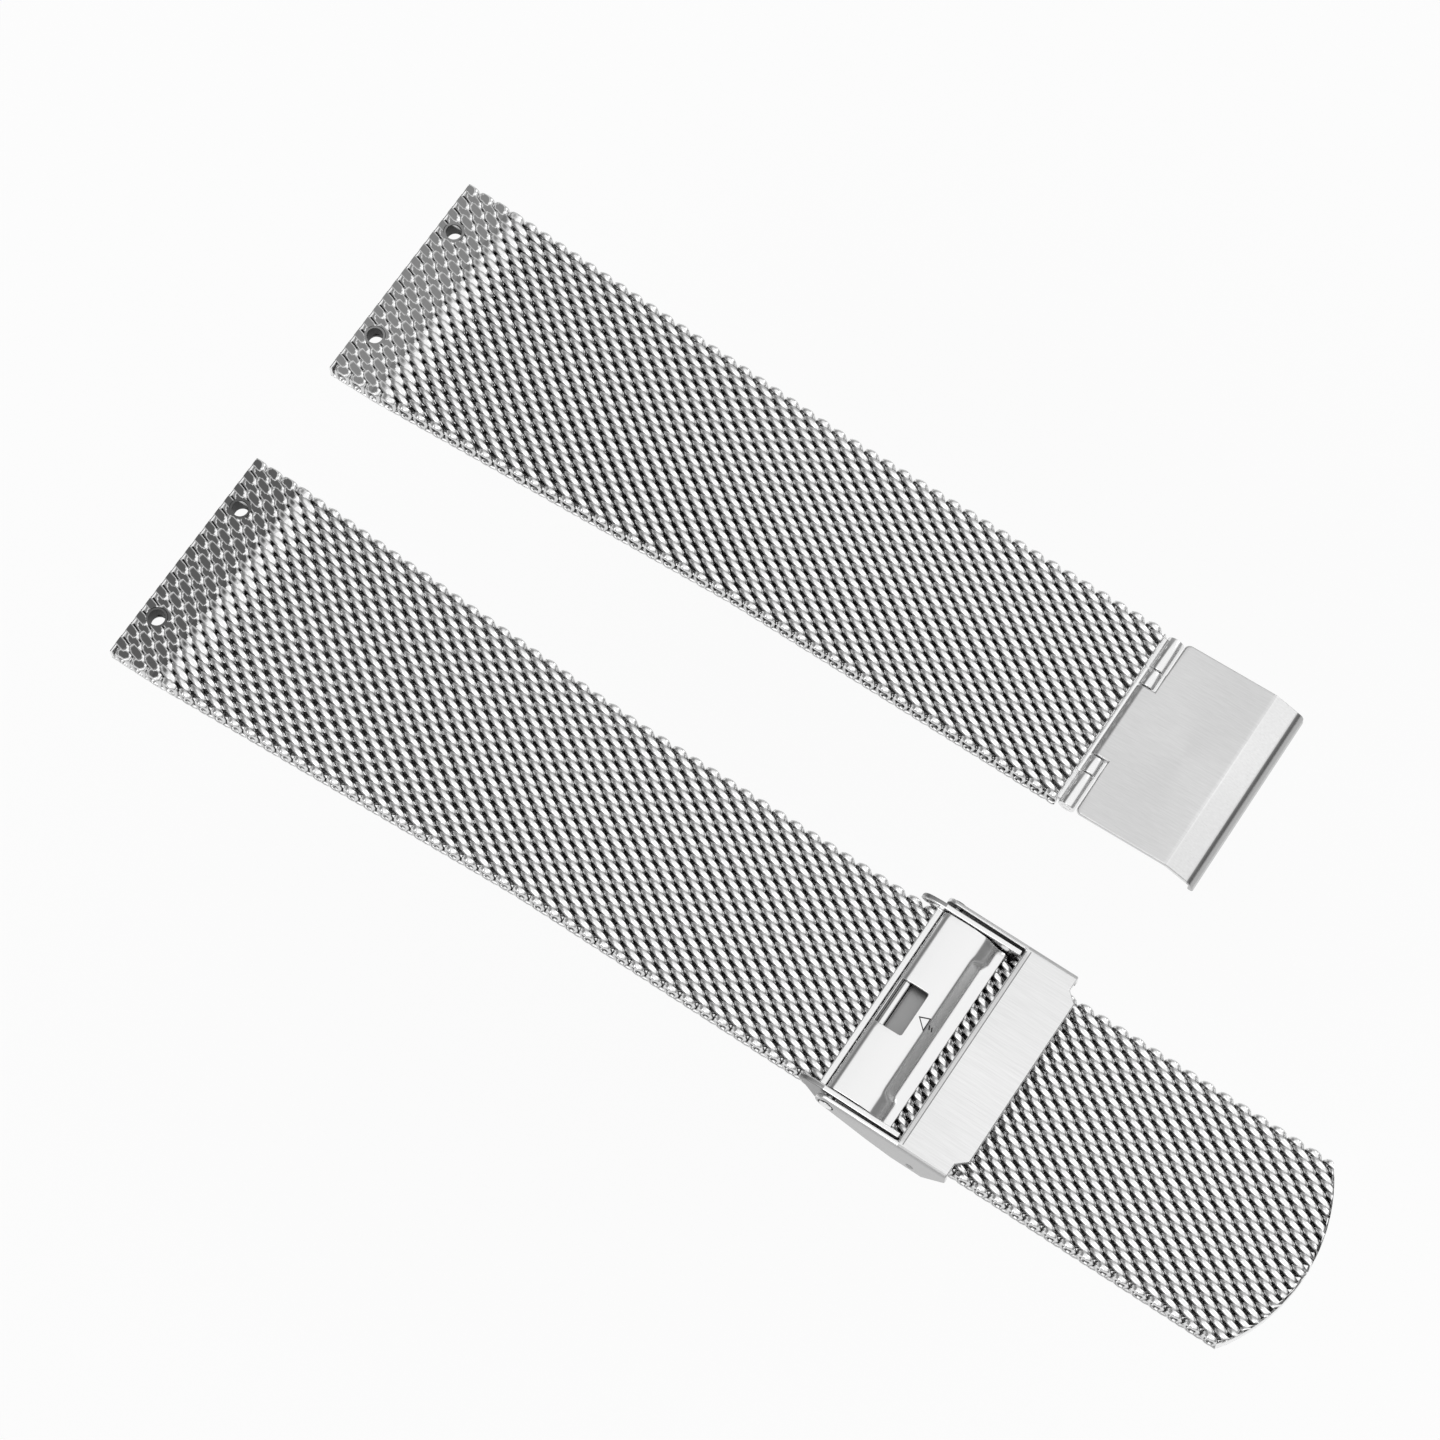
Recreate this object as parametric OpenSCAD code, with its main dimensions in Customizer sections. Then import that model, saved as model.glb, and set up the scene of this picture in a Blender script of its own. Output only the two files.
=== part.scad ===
// Milanese mesh watch band in two halves, laid out flat with the outer face up.
// X runs along the band from the lug ends, Y across it and Z up. Sizes are in millimetres.
// The long half carries the sliding clasp and the short half carries the hinged hook plate.

/* [Band] */
// Width at the lug ends
lug_w = 22; // [20:0.5:24]
// Width of the even part of the band
band_w = 18.7; // [17:0.1:19.5]
// Length of the full-width end, before the band starts to narrow
flare_from = 5; // [4:0.5:8]
// Distance from the lug end at which the band reaches its even width
flare_to = 42; // [30:1:50]
// Thickness over the wire coils
mesh_t = 2.2; // [2:0.05:2.6]
// Thickness of the ground lug ends
ground_t = 1.9; // [1.6:0.05:2]
// Length of the ground lug ends
ground_len = 4.5; // [3:0.5:8]
// Length over which the ground faces run out
ground_run_out = 1.5; // [0.5:0.5:4]
// Length of the long half, over its rounded tip
long_len = 115.5; // [108:0.5:130]
// Length of the mesh of the short half
short_len = 76; // [70:0.5:90]
// How far the rounded tip bulges past its corners
tip_bulge = 3.1; // [1:0.1:6]
// Distance between the centre lines of the two halves
pair_spacing = 32.9; // [26:0.1:45]

/* [Mesh relief] */
// Distance between the grooves beside the rope rows of the mesh, drawn coarser than the wire
groove_pitch = 2.7; // [2:0.1:4]
// Width of each groove
groove_w = 1.3; // [0.6:0.1:1.6]
// Depth of each groove
groove_depth = 0.45; // [0.2:0.05:0.5]
// Angle between the rope rows and the length of the band
groove_angle = 36; // [25:1:50]

/* [Lug holes] */
// Diameter of the two holes in each lug end
lug_hole_d = 1.5; // [1:0.1:2]
// Distance between the two holes
lug_hole_spacing = 12.4; // [8:0.1:16]
// Distance of the holes from the end
lug_hole_inset = 1.65; // [1.2:0.05:3]

/* [Bending links] */
// Distance from the lug end to the first bending line
first_bend_x = 16; // [12:0.5:20]
// Distance between bending lines
bend_pitch = 9; // [6:0.5:10]
// Links between the lug end and the last stretch
link_count = 5; // [3:1:6]
// Clearance round each bending line
bend_gap = 0.06; // [0.03:0.01:0.12]
// How far the socket lips stop short of each bending line
lip_trim = 0.45; // [0.4:0.05:0.8]

/* [Hook hinge] */
// Diameter of the hinge pin
hinge_pin_d = 0.8; // [0.6:0.05:0.9]
// Outer diameter of the knuckles
knuckle_d = 1.6; // [1.5:0.05:2]
// Length of each outer knuckle
outer_knuckle_len = 3.4; // [2:0.1:4.5]
// Length of each spacer bush
spacer_len = 1.7; // [1:0.1:3]
// End gap between neighbours on the hinge pin
knuckle_gap = 0.1; // [0.05:0.01:0.2]
// Gap between the mesh end and the knuckles
mesh_end_gap = 0.2; // [0.15:0.01:0.4]
// How far the hinge stops short of each band edge
hinge_inset = 0.2; // [0.1:0.05:0.5]
// Radial clearance of a part that turns on a pin
running_fit = 0.04; // [0.02:0.01:0.08]
// Radial clearance of a part that is fixed on a pin
fixed_fit = 0.02; // [0.01:0.01:0.04]
// Depth of the tongue that is brazed into the last coils
tongue_depth = 2; // [1:0.1:4]
// Thickness of the tongue
tongue_t = 0.6; // [0.4:0.05:0.8]
// Width that each side of the tongue keeps clear of the band edge
tongue_inset = 0.5; // [0.3:0.1:1.5]
// Braze gap round the tongue
braze_gap = 0.03; // [0.01:0.01:0.06]

/* [Hook plate] */
// How far the hook plate stops short of each band edge
plate_inset = 0.05; // [0:0.05:0.5]
// Thickness of its sheet
plate_t = 0.55; // [0.4:0.05:0.7]
// Length of the flat from the hinge axis to the crease
plate_flat = 10.05; // [7:0.05:14]
// Run of the sloping end past the crease
plate_slope_run = 3.05; // [2:0.05:4]
// Upward tilt of the flat as it lies
plate_tilt = 4; // [0:0.5:6]
// Downward slope past the crease
plate_slope = 22; // [12:1:26]
// Inner radius of the bend above the lip
plate_bend_r = 0.15; // [0.05:0.05:0.4]
// Inner radius of the crease
plate_crease_r = 0.5; // [0.2:0.1:2]
// Distance from the hinge axis to the plate edge beside the outer knuckles
plate_edge_x = 1.2; // [1.15:0.01:1.3]
// Distance from the hinge axis to the bottom of the spacer notches
notch_edge_x = 0.95; // [0.9:0.01:1.1]
// Corner radius of the plate in plan
plate_corner_r = 0.45; // [0.2:0.05:0.8]

/* [Clasp] */
// Distance from the lug end to the clasp pin
clasp_x = 74.5; // [73:0.1:80]
// Diameter of the clasp pin
clasp_pin_d = 0.9; // [0.7:0.05:0.95]
// Height of the pin above the mesh
pin_lift = 0.87; // [0.87:0.01:1.1]
// Gap between the mesh and the base channel
mesh_fit = 0.1; // [0.05:0.01:0.2]
// Thickness of the base floor
floor_t = 0.5; // [0.4:0.05:0.8]
// Thickness of the base walls
base_wall_t = 0.45; // [0.35:0.05:0.6]
// Gap between the base walls and the cover arms
arm_gap = 0.1; // [0.05:0.01:0.2]
// Thickness of the cover arms
arm_t = 0.5; // [0.4:0.05:0.7]
// Thickness of the bridge of the cover
bridge_t = 0.55; // [0.4:0.05:0.7]
// Height of the cover top above the pin axis
cover_top = 1.1; // [1:0.05:1.3]
// Outer radius of the bends along the cover
cover_bend_r = 0.5; // [0.3:0.05:0.6]
// Distance from the pin to the bridge
bridge_from = 6.85; // [6.5:0.05:8]
// Distance from the pin to the shoulders of the bridge
bridge_to = 11.85; // [11:0.05:14]
// Reach of the middle tab past the shoulders
tab_reach = 0.95; // [0.5:0.05:1.5]
// Width that each shoulder takes beside the tab
shoulder_w = 2.3; // [1.5:0.1:4]
// Part of that width over which the shoulder slopes out to the tab
shoulder_slope_w = 0.8; // [0.4:0.1:1.2]
// Distance from the pin to the knee in the lower edge of each arm
arm_knee_x = 4; // [3:0.1:5]
// Depth of that knee below the mesh top
arm_knee_drop = 1.9; // [1.5:0.1:2.1]
// Distance from the pin to the start of the deep part of each cheek
cheek_from = 6.6; // [6:0.1:7]
// Gap under the cheeks
cheek_gap = 0.15; // [0.1:0.05:0.5]
// Run of the slope at the far end of each cheek
cheek_slope_run = 2.1; // [1:0.1:3]
// Depth of the far corner of each cheek below the pin axis
cheek_corner_drop = 0.7; // [0.4:0.1:1.5]
// Distance from the pin to the round tip of the base walls
base_tip_reach = 3.2; // [2.8:0.1:3.6]
// Radius of that tip
base_tip_r = 0.7; // [0.5:0.05:0.9]
// Height of the cover arms above the base walls
arm_over_wall = 0.1; // [0.05:0.05:0.3]
// Distance from the pin to the front of the base floor
floor_front = 1.2; // [0.8:0.1:1.8]
// Length of the sloping ends of the base walls
base_slope_run = 1.6; // [1:0.1:2.5]
// Height of the slope at the far end of the base walls
base_slope_rise = 1.8; // [1:0.1:2.4]
// Gap between the walls and the near edge of the bridge
wall_bridge_gap = 0.15; // [0.1:0.05:0.4]
// Distance from the pin to the far end of the base walls
base_to = 10.4; // [9:0.1:10.8]
// Width of the catch bar
catch_w = 0.62; // [0.5:0.02:0.8]
// Height of the catch bar
catch_h = 0.85; // [0.6:0.05:1]
// Gap round the catch bar
catch_gap = 0.08; // [0.05:0.01:0.15]

/* [Locking flap] */
// Thickness of the flap sheet
flap_t = 0.32; // [0.25:0.01:0.34]
// Gap between the flap and each base wall
flap_side_gap = 0.3; // [0.15:0.05:0.6]
// Distance from the pin at which the flap starts to fall
flap_fall_from = 3.1; // [2.6:0.05:3.4]
// Distance from the pin to the lip
flap_lip_from = 4.5; // [4.2:0.05:4.8]
// Distance from the pin to the lip beside the middle
flap_end_lip_from = 4.95; // [4.85:0.05:5.1]
// Distance from the pin to the edge of the lip
flap_to = 5.55; // [5.3:0.05:6]
// Width of each end where the fall is longer
flap_end_w = 2.2; // [1.5:0.1:3]
// Inner radius of the bends of the flap
flap_bend_r = 0.1; // [0.05:0.01:0.2]
// Drop of the flap before the fall starts
flap_shoulder_drop = 0.1; // [0:0.05:0.2]
// Rise of the rounded top of the flap
flap_crown = 0.1; // [0:0.02:0.2]
// Gap between the lip and the mesh
lip_gap = 0.05; // [0.03:0.01:0.1]
// Reach of the inner layer of the flap under the window
inner_layer_reach = 3; // [2.4:0.1:3.4]
// Length of the window across the band
window_len = 4.4; // [3:0.1:6]
// Reach of the window behind the pin axis
window_back = 0.6; // [0.45:0.01:0.65]
// Reach of the window in front of the pin axis
window_front = 2.1; // [1.6:0.05:2.3]

/* [Hidden] */
$fn = 64;

mesh_r = mesh_t / 2;
last_bend_x = first_bend_x + link_count * bend_pitch;
far = 200;

// Where the two halves lie: the long half is raised by the clasp floor under it
x_start = -long_len / 2;
long_z = floor_t + mesh_fit;
band_y = pair_spacing / 2;

// Radius of the arc through the tip corners and the tip
tip_r = (pow(band_w / 2, 2) + pow(tip_bulge, 2)) / (2 * tip_bulge);

// Hinge of the hook plate, in the frame of the short half
hinge_x = short_len + mesh_end_gap + knuckle_d / 2;
hinge_z = mesh_r;
knuckle_r = knuckle_d / 2;
hinge_half_w = band_w / 2 - hinge_inset;
spacer_out_y = hinge_half_w - outer_knuckle_len - knuckle_gap;
spacer_in_y = spacer_out_y - spacer_len;
barrel_half_w = spacer_in_y - knuckle_gap;
plate_w = band_w - 2 * plate_inset;

// Clasp, in a frame with its origin on the pin axis
clasp_z = long_z + mesh_t + pin_lift;
pin_r = clasp_pin_d / 2;
roll_r = pin_r + running_fit + flap_t;
mesh_top = -pin_lift;
floor_bottom = -clasp_z;
channel_half_w = band_w / 2 + mesh_fit;
base_half_w = channel_half_w + base_wall_t;
arm_in_y = base_half_w + arm_gap;
cover_half_w = arm_in_y + arm_t;
flap_half_w = channel_half_w - flap_side_gap;
base_top = cover_top - arm_over_wall;
base_low_top = cover_top - bridge_t - mesh_fit;

// Angles at which the round ends of the walls and the arms meet their lower edges
base_tip_end_angle = 210;
arm_end_angle = 235;

function unit(v) = v / norm(v);
function turned_left(v) = [-v[1], v[0]];
function arc(centre, r, from, to, steps = 12) =
  [for (i = [0:steps]) let (a = from + (to - from) * i / steps) centre + r * [cos(a), sin(a)]];

// Points of a round corner of radius r at b, between the lines to a and c
function corner_arc(a, b, c, r, steps = 6) =
  let (
    u = unit(a - b),
    v = unit(c - b),
    half = acos(u * v) / 2,
    centre = b + unit(u + v) * r / sin(half),
    start = b + u * r / tan(half) - centre,
    end = b + v * r / tan(half) - centre,
    from = atan2(start[1], start[0]),
    turn = atan2(start[0] * end[1] - start[1] * end[0], start * end)
  )
  arc(centre, r, from, from + turn, steps);

// An open line of points with its inner corners rounded, one radius for each
function rounded_line(points, radii) =
  let (last = len(points) - 1)
  [
    points[0],
    for (i = [1:last - 1]) each corner_arc(points[i - 1], points[i], points[i + 1], radii[i - 1]),
    points[last]
  ];

// The line moved sideways by t, to its right as it runs
function moved_line(line, t) =
  let (last = len(line) - 1)
  [for (i = [0:last])
    let (
      before = unit(line[max(i, 1)] - line[max(i, 1) - 1]),
      after = unit(line[min(i, last - 1) + 1] - line[min(i, last - 1)]),
      side = unit(turned_left(before) + turned_left(after))
    )
    line[i] - side * t / (side * turned_left(before))];

// Outline of a sheet t thick, bent along a line of points
function sheet_outline(points, t, radii) =
  let (line = rounded_line(points, radii), under = moved_line(line, t), last = len(line) - 1)
  concat(line, [for (i = [last:-1:0]) under[i]]);

// A side outline, drawn in X and Z, made w wide across the band
module across(w) {
  rotate([90, 0, 0]) linear_extrude(height = w, center = true) children();
}

module across_between(y0, y1) {
  translate([0, (y0 + y1) / 2, 0]) across(y1 - y0) children();
}

module both_sides() {
  children();
  mirror([0, 1, 0]) children();
}

// A solid round bar along Y
module bar(r, w) {
  rotate([90, 0, 0]) cylinder(r = r, h = w, center = true);
}

module long_place() {
  translate([x_start, -band_y, long_z]) children();
}

module short_place() {
  translate([x_start, band_y, 0]) children();
}

module hinge_place() {
  short_place() translate([hinge_x, 0, hinge_z]) children();
}

module clasp_place() {
  translate([x_start + clasp_x, -band_y, clasp_z]) children();
}

// Plan outline of one half: full width at the lugs, then an even taper
module band_plan(length) {
  side = [
    [0, lug_w / 2],
    [flare_from, lug_w / 2],
    [flare_to, band_w / 2],
    [length, band_w / 2]
  ];
  polygon(concat(side, [for (i = [3:-1:0]) [side[i][0], -side[i][1]]]));
}

// Side outline of one half, with the lug end ground thinner on both faces
module band_side(length) {
  polygon([
    [0, mesh_r - ground_t / 2],
    [ground_len, mesh_r - ground_t / 2],
    [ground_len + ground_run_out, 0],
    [length, 0],
    [length, mesh_t],
    [ground_len + ground_run_out, mesh_t],
    [ground_len, mesh_r + ground_t / 2],
    [0, mesh_r + ground_t / 2]
  ]);
}

// Space round one bending line, wide enough for the neighbour to turn in
module bend_socket(x) {
  translate([x, 0, mesh_r]) {
    bar(mesh_r + bend_gap, 2 * lug_w);
    translate([-lip_trim, -lug_w, -mesh_t]) cube([far, 2 * lug_w, 2 * mesh_t]);
  }
}

// V-grooves beside the slanting rope rows, on the outer face from x0 to x1
module outer_grooves(x0, x1) {
  step = groove_pitch / sin(groove_angle);
  slant = lug_w / 2 / tan(groove_angle);
  intersection() {
    translate([x0, -lug_w, 0]) cube([x1 - x0, 2 * lug_w, 2 * mesh_t]);
    for (i = [ceil((x0 - slant) / step):floor((x1 + slant) / step)])
      translate([i * step, 0, mesh_t]) rotate([90, 0, 90 - groove_angle])
        linear_extrude(height = 4 * lug_w, center = true)
          polygon([[-groove_w, groove_depth], [0, -groove_depth], [groove_w, groove_depth]]);
  }
}

// The same on both faces: turned over, the inner face has the same handedness
module rope_grooves(x0, x1) {
  outer_grooves(x0, x1);
  translate([0, 0, mesh_t]) rotate([180, 0, 0]) outer_grooves(x0, x1);
}

// One stretch of mesh from x0 to x1: a round end on its first bending line, a socket on its last
module mesh_stretch(length, x0, x1, round_start = true, socket_end = true) {
  grooves_from = round_start ? x0 - lip_trim : ground_len + ground_run_out;
  grooves_to = socket_end ? x1 - mesh_r - 2 * bend_gap : x1 + mesh_t;
  difference() {
    intersection() {
      linear_extrude(height = mesh_t) band_plan(length);
      across(2 * lug_w) band_side(length);
      union() {
        translate([x0, -lug_w, 0]) cube([x1 - x0, 2 * lug_w, mesh_t]);
        if (round_start) translate([x0, 0, mesh_r]) bar(mesh_r, 2 * lug_w);
      }
    }
    if (socket_end) bend_socket(x1);
    rope_grooves(grooves_from, grooves_to);
  }
}

module lug_holes() {
  both_sides() translate([lug_hole_inset, lug_hole_spacing / 2, -1]) cylinder(d = lug_hole_d, h = mesh_t + 2);
}

module mesh_lug_end(length) {
  difference() {
    mesh_stretch(length, 0, first_bend_x, round_start = false);
    lug_holes();
  }
}

module mesh_link(length, number) {
  x0 = first_bend_x + (number - 1) * bend_pitch;
  mesh_stretch(length, x0, x0 + bend_pitch);
}

module long_mesh_lug_end() {
  color("silver") long_place() mesh_lug_end(long_len);
}

module long_mesh_link(number) {
  color("silver") long_place() mesh_link(long_len, number);
}

// Last stretch of the long half: the clasp slides along it, and its tip is ground round
module long_mesh_tail() {
  color("silver") long_place() intersection() {
    mesh_stretch(long_len, last_bend_x, long_len, socket_end = false);
    translate([long_len - tip_r, 0, 0]) {
      cylinder(r = tip_r, h = mesh_t, $fn = 128);
      translate([-far, -band_w, 0]) cube([far, 2 * band_w, mesh_t]);
    }
  }
}

module short_mesh_lug_end() {
  color("silver") short_place() mesh_lug_end(short_len);
}

module short_mesh_link(number) {
  color("silver") short_place() mesh_link(short_len, number);
}

// Last stretch of the short half, with a slot for the tongue of the hinge fitting
module short_mesh_hinge_end() {
  slot_w = band_w - 2 * (tongue_inset - braze_gap);
  color("silver") short_place() difference() {
    mesh_stretch(short_len, last_bend_x, short_len, socket_end = false);
    translate([short_len - tongue_depth - braze_gap, -slot_w / 2, mesh_r - tongue_t / 2 - braze_gap])
      cube([tongue_depth + 1, slot_w, tongue_t + 2 * braze_gap]);
  }
}

// Tongue in the last coils and the two outer knuckles that it carries
module hinge_fitting() {
  tongue_w = band_w - 2 * tongue_inset;
  mesh_end = -knuckle_r - mesh_end_gap;
  color("gainsboro") hinge_place() difference() {
    union() {
      translate([mesh_end - tongue_depth, -tongue_w / 2, -tongue_t / 2])
        cube([tongue_depth, tongue_w, tongue_t]);
      both_sides() {
        translate([mesh_end, spacer_out_y + knuckle_gap, -tongue_t / 2])
          cube([-mesh_end, tongue_w / 2 - spacer_out_y - knuckle_gap, tongue_t]);
        translate([0, (spacer_out_y + knuckle_gap + hinge_half_w) / 2, 0])
          bar(knuckle_r, outer_knuckle_len);
      }
    }
    bar(hinge_pin_d / 2 + fixed_fit, 2 * band_w);
  }
}

// Two bushes that keep the plate centred between the outer knuckles
module hinge_spacers() {
  spacer_y = (spacer_in_y + spacer_out_y) / 2;
  color("gainsboro") hinge_place() both_sides() translate([0, spacer_y, 0]) difference() {
    bar(knuckle_r, spacer_len);
    bar(hinge_pin_d / 2 + fixed_fit, spacer_len + 1);
  }
}

module hinge_pin() {
  color("gainsboro") hinge_place() bar(hinge_pin_d / 2, 2 * hinge_half_w);
}

// Upper face of the plate in X and Z from the hinge axis: flat, crease, slope, lip down to the table
function plate_line() =
  let (
    start = knuckle_r * [-sin(plate_tilt), cos(plate_tilt)],
    crease = start + plate_flat * [1, tan(plate_tilt)],
    edge = crease + plate_slope_run * [1, -tan(plate_slope)]
  )
  [start, crease, edge, [edge[0], -hinge_z]];

module hook_plate_blank() {
  bends = [plate_t + plate_crease_r, plate_t + plate_bend_r];
  across(plate_w) polygon(sheet_outline(plate_line(), plate_t, bends));
}

// Plan of the plate past the knuckles, with round corners beside them
module hook_plate_plan() {
  half = plate_w / 2;
  reach = plate_flat + 2 * plate_slope_run;
  polygon(concat(
    corner_arc([plate_edge_x, 0], [plate_edge_x, half], [reach, half], plate_corner_r),
    [[reach, half], [reach, -half]],
    corner_arc([reach, -half], [plate_edge_x, -half], [plate_edge_x, 0], plate_corner_r)
  ));
}

// Sheet plate with a barrel rolled round the hinge pin and a bent hook edge
module hook_plate() {
  barrel_w = 2 * barrel_half_w;
  notch_out_y = spacer_out_y + knuckle_gap;
  color("lightgray") hinge_place() difference() {
    union() {
      intersection() {
        hook_plate_blank();
        translate([0, 0, -far / 2]) linear_extrude(height = far) {
          hook_plate_plan();
          translate([notch_edge_x, -notch_out_y]) square([plate_edge_x, 2 * notch_out_y]);
          translate([-knuckle_r, -barrel_half_w]) square([2 * plate_edge_x, barrel_w]);
        }
      }
      bar(knuckle_r, barrel_w);
    }
    bar(hinge_pin_d / 2 + running_fit, 2 * band_w);
  }
}

// Side outline of the base walls, from the round tip to the far end
module base_wall_side() {
  tip = [-base_tip_reach + base_tip_r, base_top - base_tip_r];
  polygon(concat(
    arc(tip, base_tip_r, 90, base_tip_end_angle),
    [
      [-floor_front, floor_bottom],
      [base_to - base_slope_run, floor_bottom],
      [base_to, floor_bottom + base_slope_rise],
      [base_to, base_low_top],
      [bridge_from - wall_bridge_gap, base_low_top],
      [bridge_from - wall_bridge_gap, base_top]
    ]
  ));
}

// Channel under the mesh, with side walls and the catch bar for the hook plate
module clasp_base() {
  catch_top = mesh_top + catch_gap + catch_h;
  color("silver") clasp_place() {
    difference() {
      both_sides() across_between(channel_half_w, base_half_w) base_wall_side();
      bar(pin_r + fixed_fit, 2 * cover_half_w);
    }
    translate([-floor_front, -base_half_w, floor_bottom])
      cube([floor_front + base_to - base_slope_run, 2 * base_half_w, floor_t]);
    translate([-roll_r - catch_gap - catch_w, -channel_half_w - base_wall_t / 2, catch_top - catch_h])
      cube([catch_w, 2 * channel_half_w + base_wall_t, catch_h]);
  }
}

// Side outline of the cover: round arm ends at the pin, deep cheeks under the bridge
module cover_side() {
  polygon(concat(
    arc([0, 0], cover_top, 90, arm_end_angle),
    [
      [arm_knee_x, mesh_top - arm_knee_drop],
      [cheek_from, floor_bottom + cheek_gap],
      [bridge_to - cheek_slope_run, floor_bottom + cheek_gap],
      [bridge_to, -cheek_corner_drop],
      [bridge_to + tab_reach, cover_top - bridge_t],
      [bridge_to + tab_reach, cover_top]
    ]
  ));
}

// Cross section of the cover in Y and Z: one sheet bent down along both sides
module cover_section() {
  bend = cover_bend_r;
  depth = cover_top - floor_bottom;
  difference() {
    translate([-cover_half_w, cover_top - depth])
      polygon(concat(
        [[0, 0], [2 * cover_half_w, 0]],
        arc([2 * cover_half_w - bend, depth - bend], bend, 0, 90, 6),
        arc([bend, depth - bend], bend, 90, 180, 6)
      ));
    translate([-arm_in_y, cover_top - bridge_t - 2 * depth]) square([2 * arm_in_y, 2 * depth]);
  }
}

// Plan of the bridge end: a middle tab with sloping shoulders
module bridge_plan() {
  tab_w = cover_half_w - shoulder_w;
  right = [
    [-2 * cover_top, cover_half_w],
    [bridge_to, cover_half_w],
    [bridge_to, tab_w + shoulder_slope_w],
    [bridge_to + tab_reach, tab_w],
    [bridge_to + tab_reach, 0]
  ];
  polygon(concat(right, [for (i = [3:-1:0]) [right[i][0], -right[i][1]]]));
}

// Bent sheet cover: a bridge over the mesh, and arms that turn on the clasp pin
module clasp_cover() {
  color("lightgray") clasp_place() difference() {
    intersection() {
      rotate([90, 0, 90]) translate([0, 0, -far / 2]) linear_extrude(height = far) cover_section();
      across(2 * cover_half_w) cover_side();
      translate([0, 0, -far / 2]) linear_extrude(height = far) bridge_plan();
    }
    translate([-far + bridge_from, -arm_in_y, -far / 2]) cube([far, 2 * arm_in_y, far]);
    bar(pin_r + running_fit, 4 * cover_half_w);
  }
}

// Upper face of the flap: off the roll, over the crown, down the fall and out along the lip
function flap_line(lip_from) =
  let (lip_z = mesh_top + lip_gap + flap_t)
  [[0, roll_r], [flap_fall_from / 2, roll_r + flap_crown], [flap_fall_from, roll_r - flap_shoulder_drop],
    [lip_from, lip_z], [flap_to, lip_z]];

module flap_sheet(lip_from, y0, y1) {
  bend = flap_t + flap_bend_r;
  across_between(y0, y1) polygon(sheet_outline(flap_line(lip_from), flap_t, [bend, bend, bend]));
}

// Locking flap rolled round the clasp pin, with a window and a lip that presses on the mesh
module locking_flap() {
  middle_half_w = flap_half_w - flap_end_w;
  color("gainsboro") clasp_place() difference() {
    union() {
      bar(roll_r, 2 * flap_half_w);
      flap_sheet(flap_lip_from, -middle_half_w, middle_half_w);
      both_sides() flap_sheet(flap_end_lip_from, middle_half_w, flap_half_w);
      translate([0, -flap_half_w, -roll_r]) cube([inner_layer_reach, 2 * flap_half_w, flap_t]);
    }
    bar(pin_r + running_fit, 4 * flap_half_w);
    translate([-window_back, -window_len / 2, -0.1])
      cube([window_back + window_front, window_len, roll_r + 1]);
  }
}

module clasp_pin() {
  color("silver") clasp_place() bar(pin_r, 2 * cover_half_w);
}

long_mesh_lug_end();
long_mesh_link(1);  // long_mesh_link_1
long_mesh_link(2);  // long_mesh_link_2
long_mesh_link(3);  // long_mesh_link_3
long_mesh_link(4);  // long_mesh_link_4
long_mesh_link(5);  // long_mesh_link_5
long_mesh_tail();
short_mesh_lug_end();
short_mesh_link(1);  // short_mesh_link_1
short_mesh_link(2);  // short_mesh_link_2
short_mesh_link(3);  // short_mesh_link_3
short_mesh_link(4);  // short_mesh_link_4
short_mesh_link(5);  // short_mesh_link_5
short_mesh_hinge_end();
hinge_fitting();
hinge_spacers();
hinge_pin();
hook_plate();
clasp_base();
clasp_cover();
locking_flap();
clasp_pin();
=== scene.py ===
"""Looks of a two-part milanese mesh band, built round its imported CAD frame.

The weave is made of real interlocked wire coils. The clasp, its cover, the locking flap and
the hook hinge follow the CAD solids. Sizes in the classes are in millimetres, and Blender's
objects are in metres, in the same frame as the CAD.
"""

import logging
import math
from contextlib import contextmanager
from dataclasses import dataclass
from enum import Enum
from typing import Any, Callable, Iterator, Sequence

import bmesh
import bpy
import numpy as np
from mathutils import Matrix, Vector


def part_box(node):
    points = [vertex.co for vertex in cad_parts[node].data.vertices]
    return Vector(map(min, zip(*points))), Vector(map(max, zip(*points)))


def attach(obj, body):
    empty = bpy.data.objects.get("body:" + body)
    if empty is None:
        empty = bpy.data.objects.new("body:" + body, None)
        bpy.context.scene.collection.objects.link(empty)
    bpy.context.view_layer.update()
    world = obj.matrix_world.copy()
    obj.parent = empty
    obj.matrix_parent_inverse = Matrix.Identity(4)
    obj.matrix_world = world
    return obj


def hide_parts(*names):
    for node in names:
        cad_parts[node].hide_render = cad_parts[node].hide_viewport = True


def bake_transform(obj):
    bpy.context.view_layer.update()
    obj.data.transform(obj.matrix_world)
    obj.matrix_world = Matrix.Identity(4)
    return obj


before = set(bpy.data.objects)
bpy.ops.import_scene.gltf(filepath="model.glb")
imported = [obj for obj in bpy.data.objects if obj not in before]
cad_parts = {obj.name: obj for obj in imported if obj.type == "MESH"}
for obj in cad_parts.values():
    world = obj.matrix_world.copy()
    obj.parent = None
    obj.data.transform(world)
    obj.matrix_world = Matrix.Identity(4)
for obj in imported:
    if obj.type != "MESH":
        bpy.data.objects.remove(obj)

MM = 0.001
TURN = 2 * math.pi
WHITE = (1.0, 1.0, 1.0, 1.0)
SIDES = ((-1, "near"), (1, "far"))
LOG = logging.getLogger("mesh_band")
Material = bpy.types.Material
Object = bpy.types.Object


class Half(Enum):
    """The two separate halves of the band."""

    LONG = "long"
    SHORT = "short"


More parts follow.
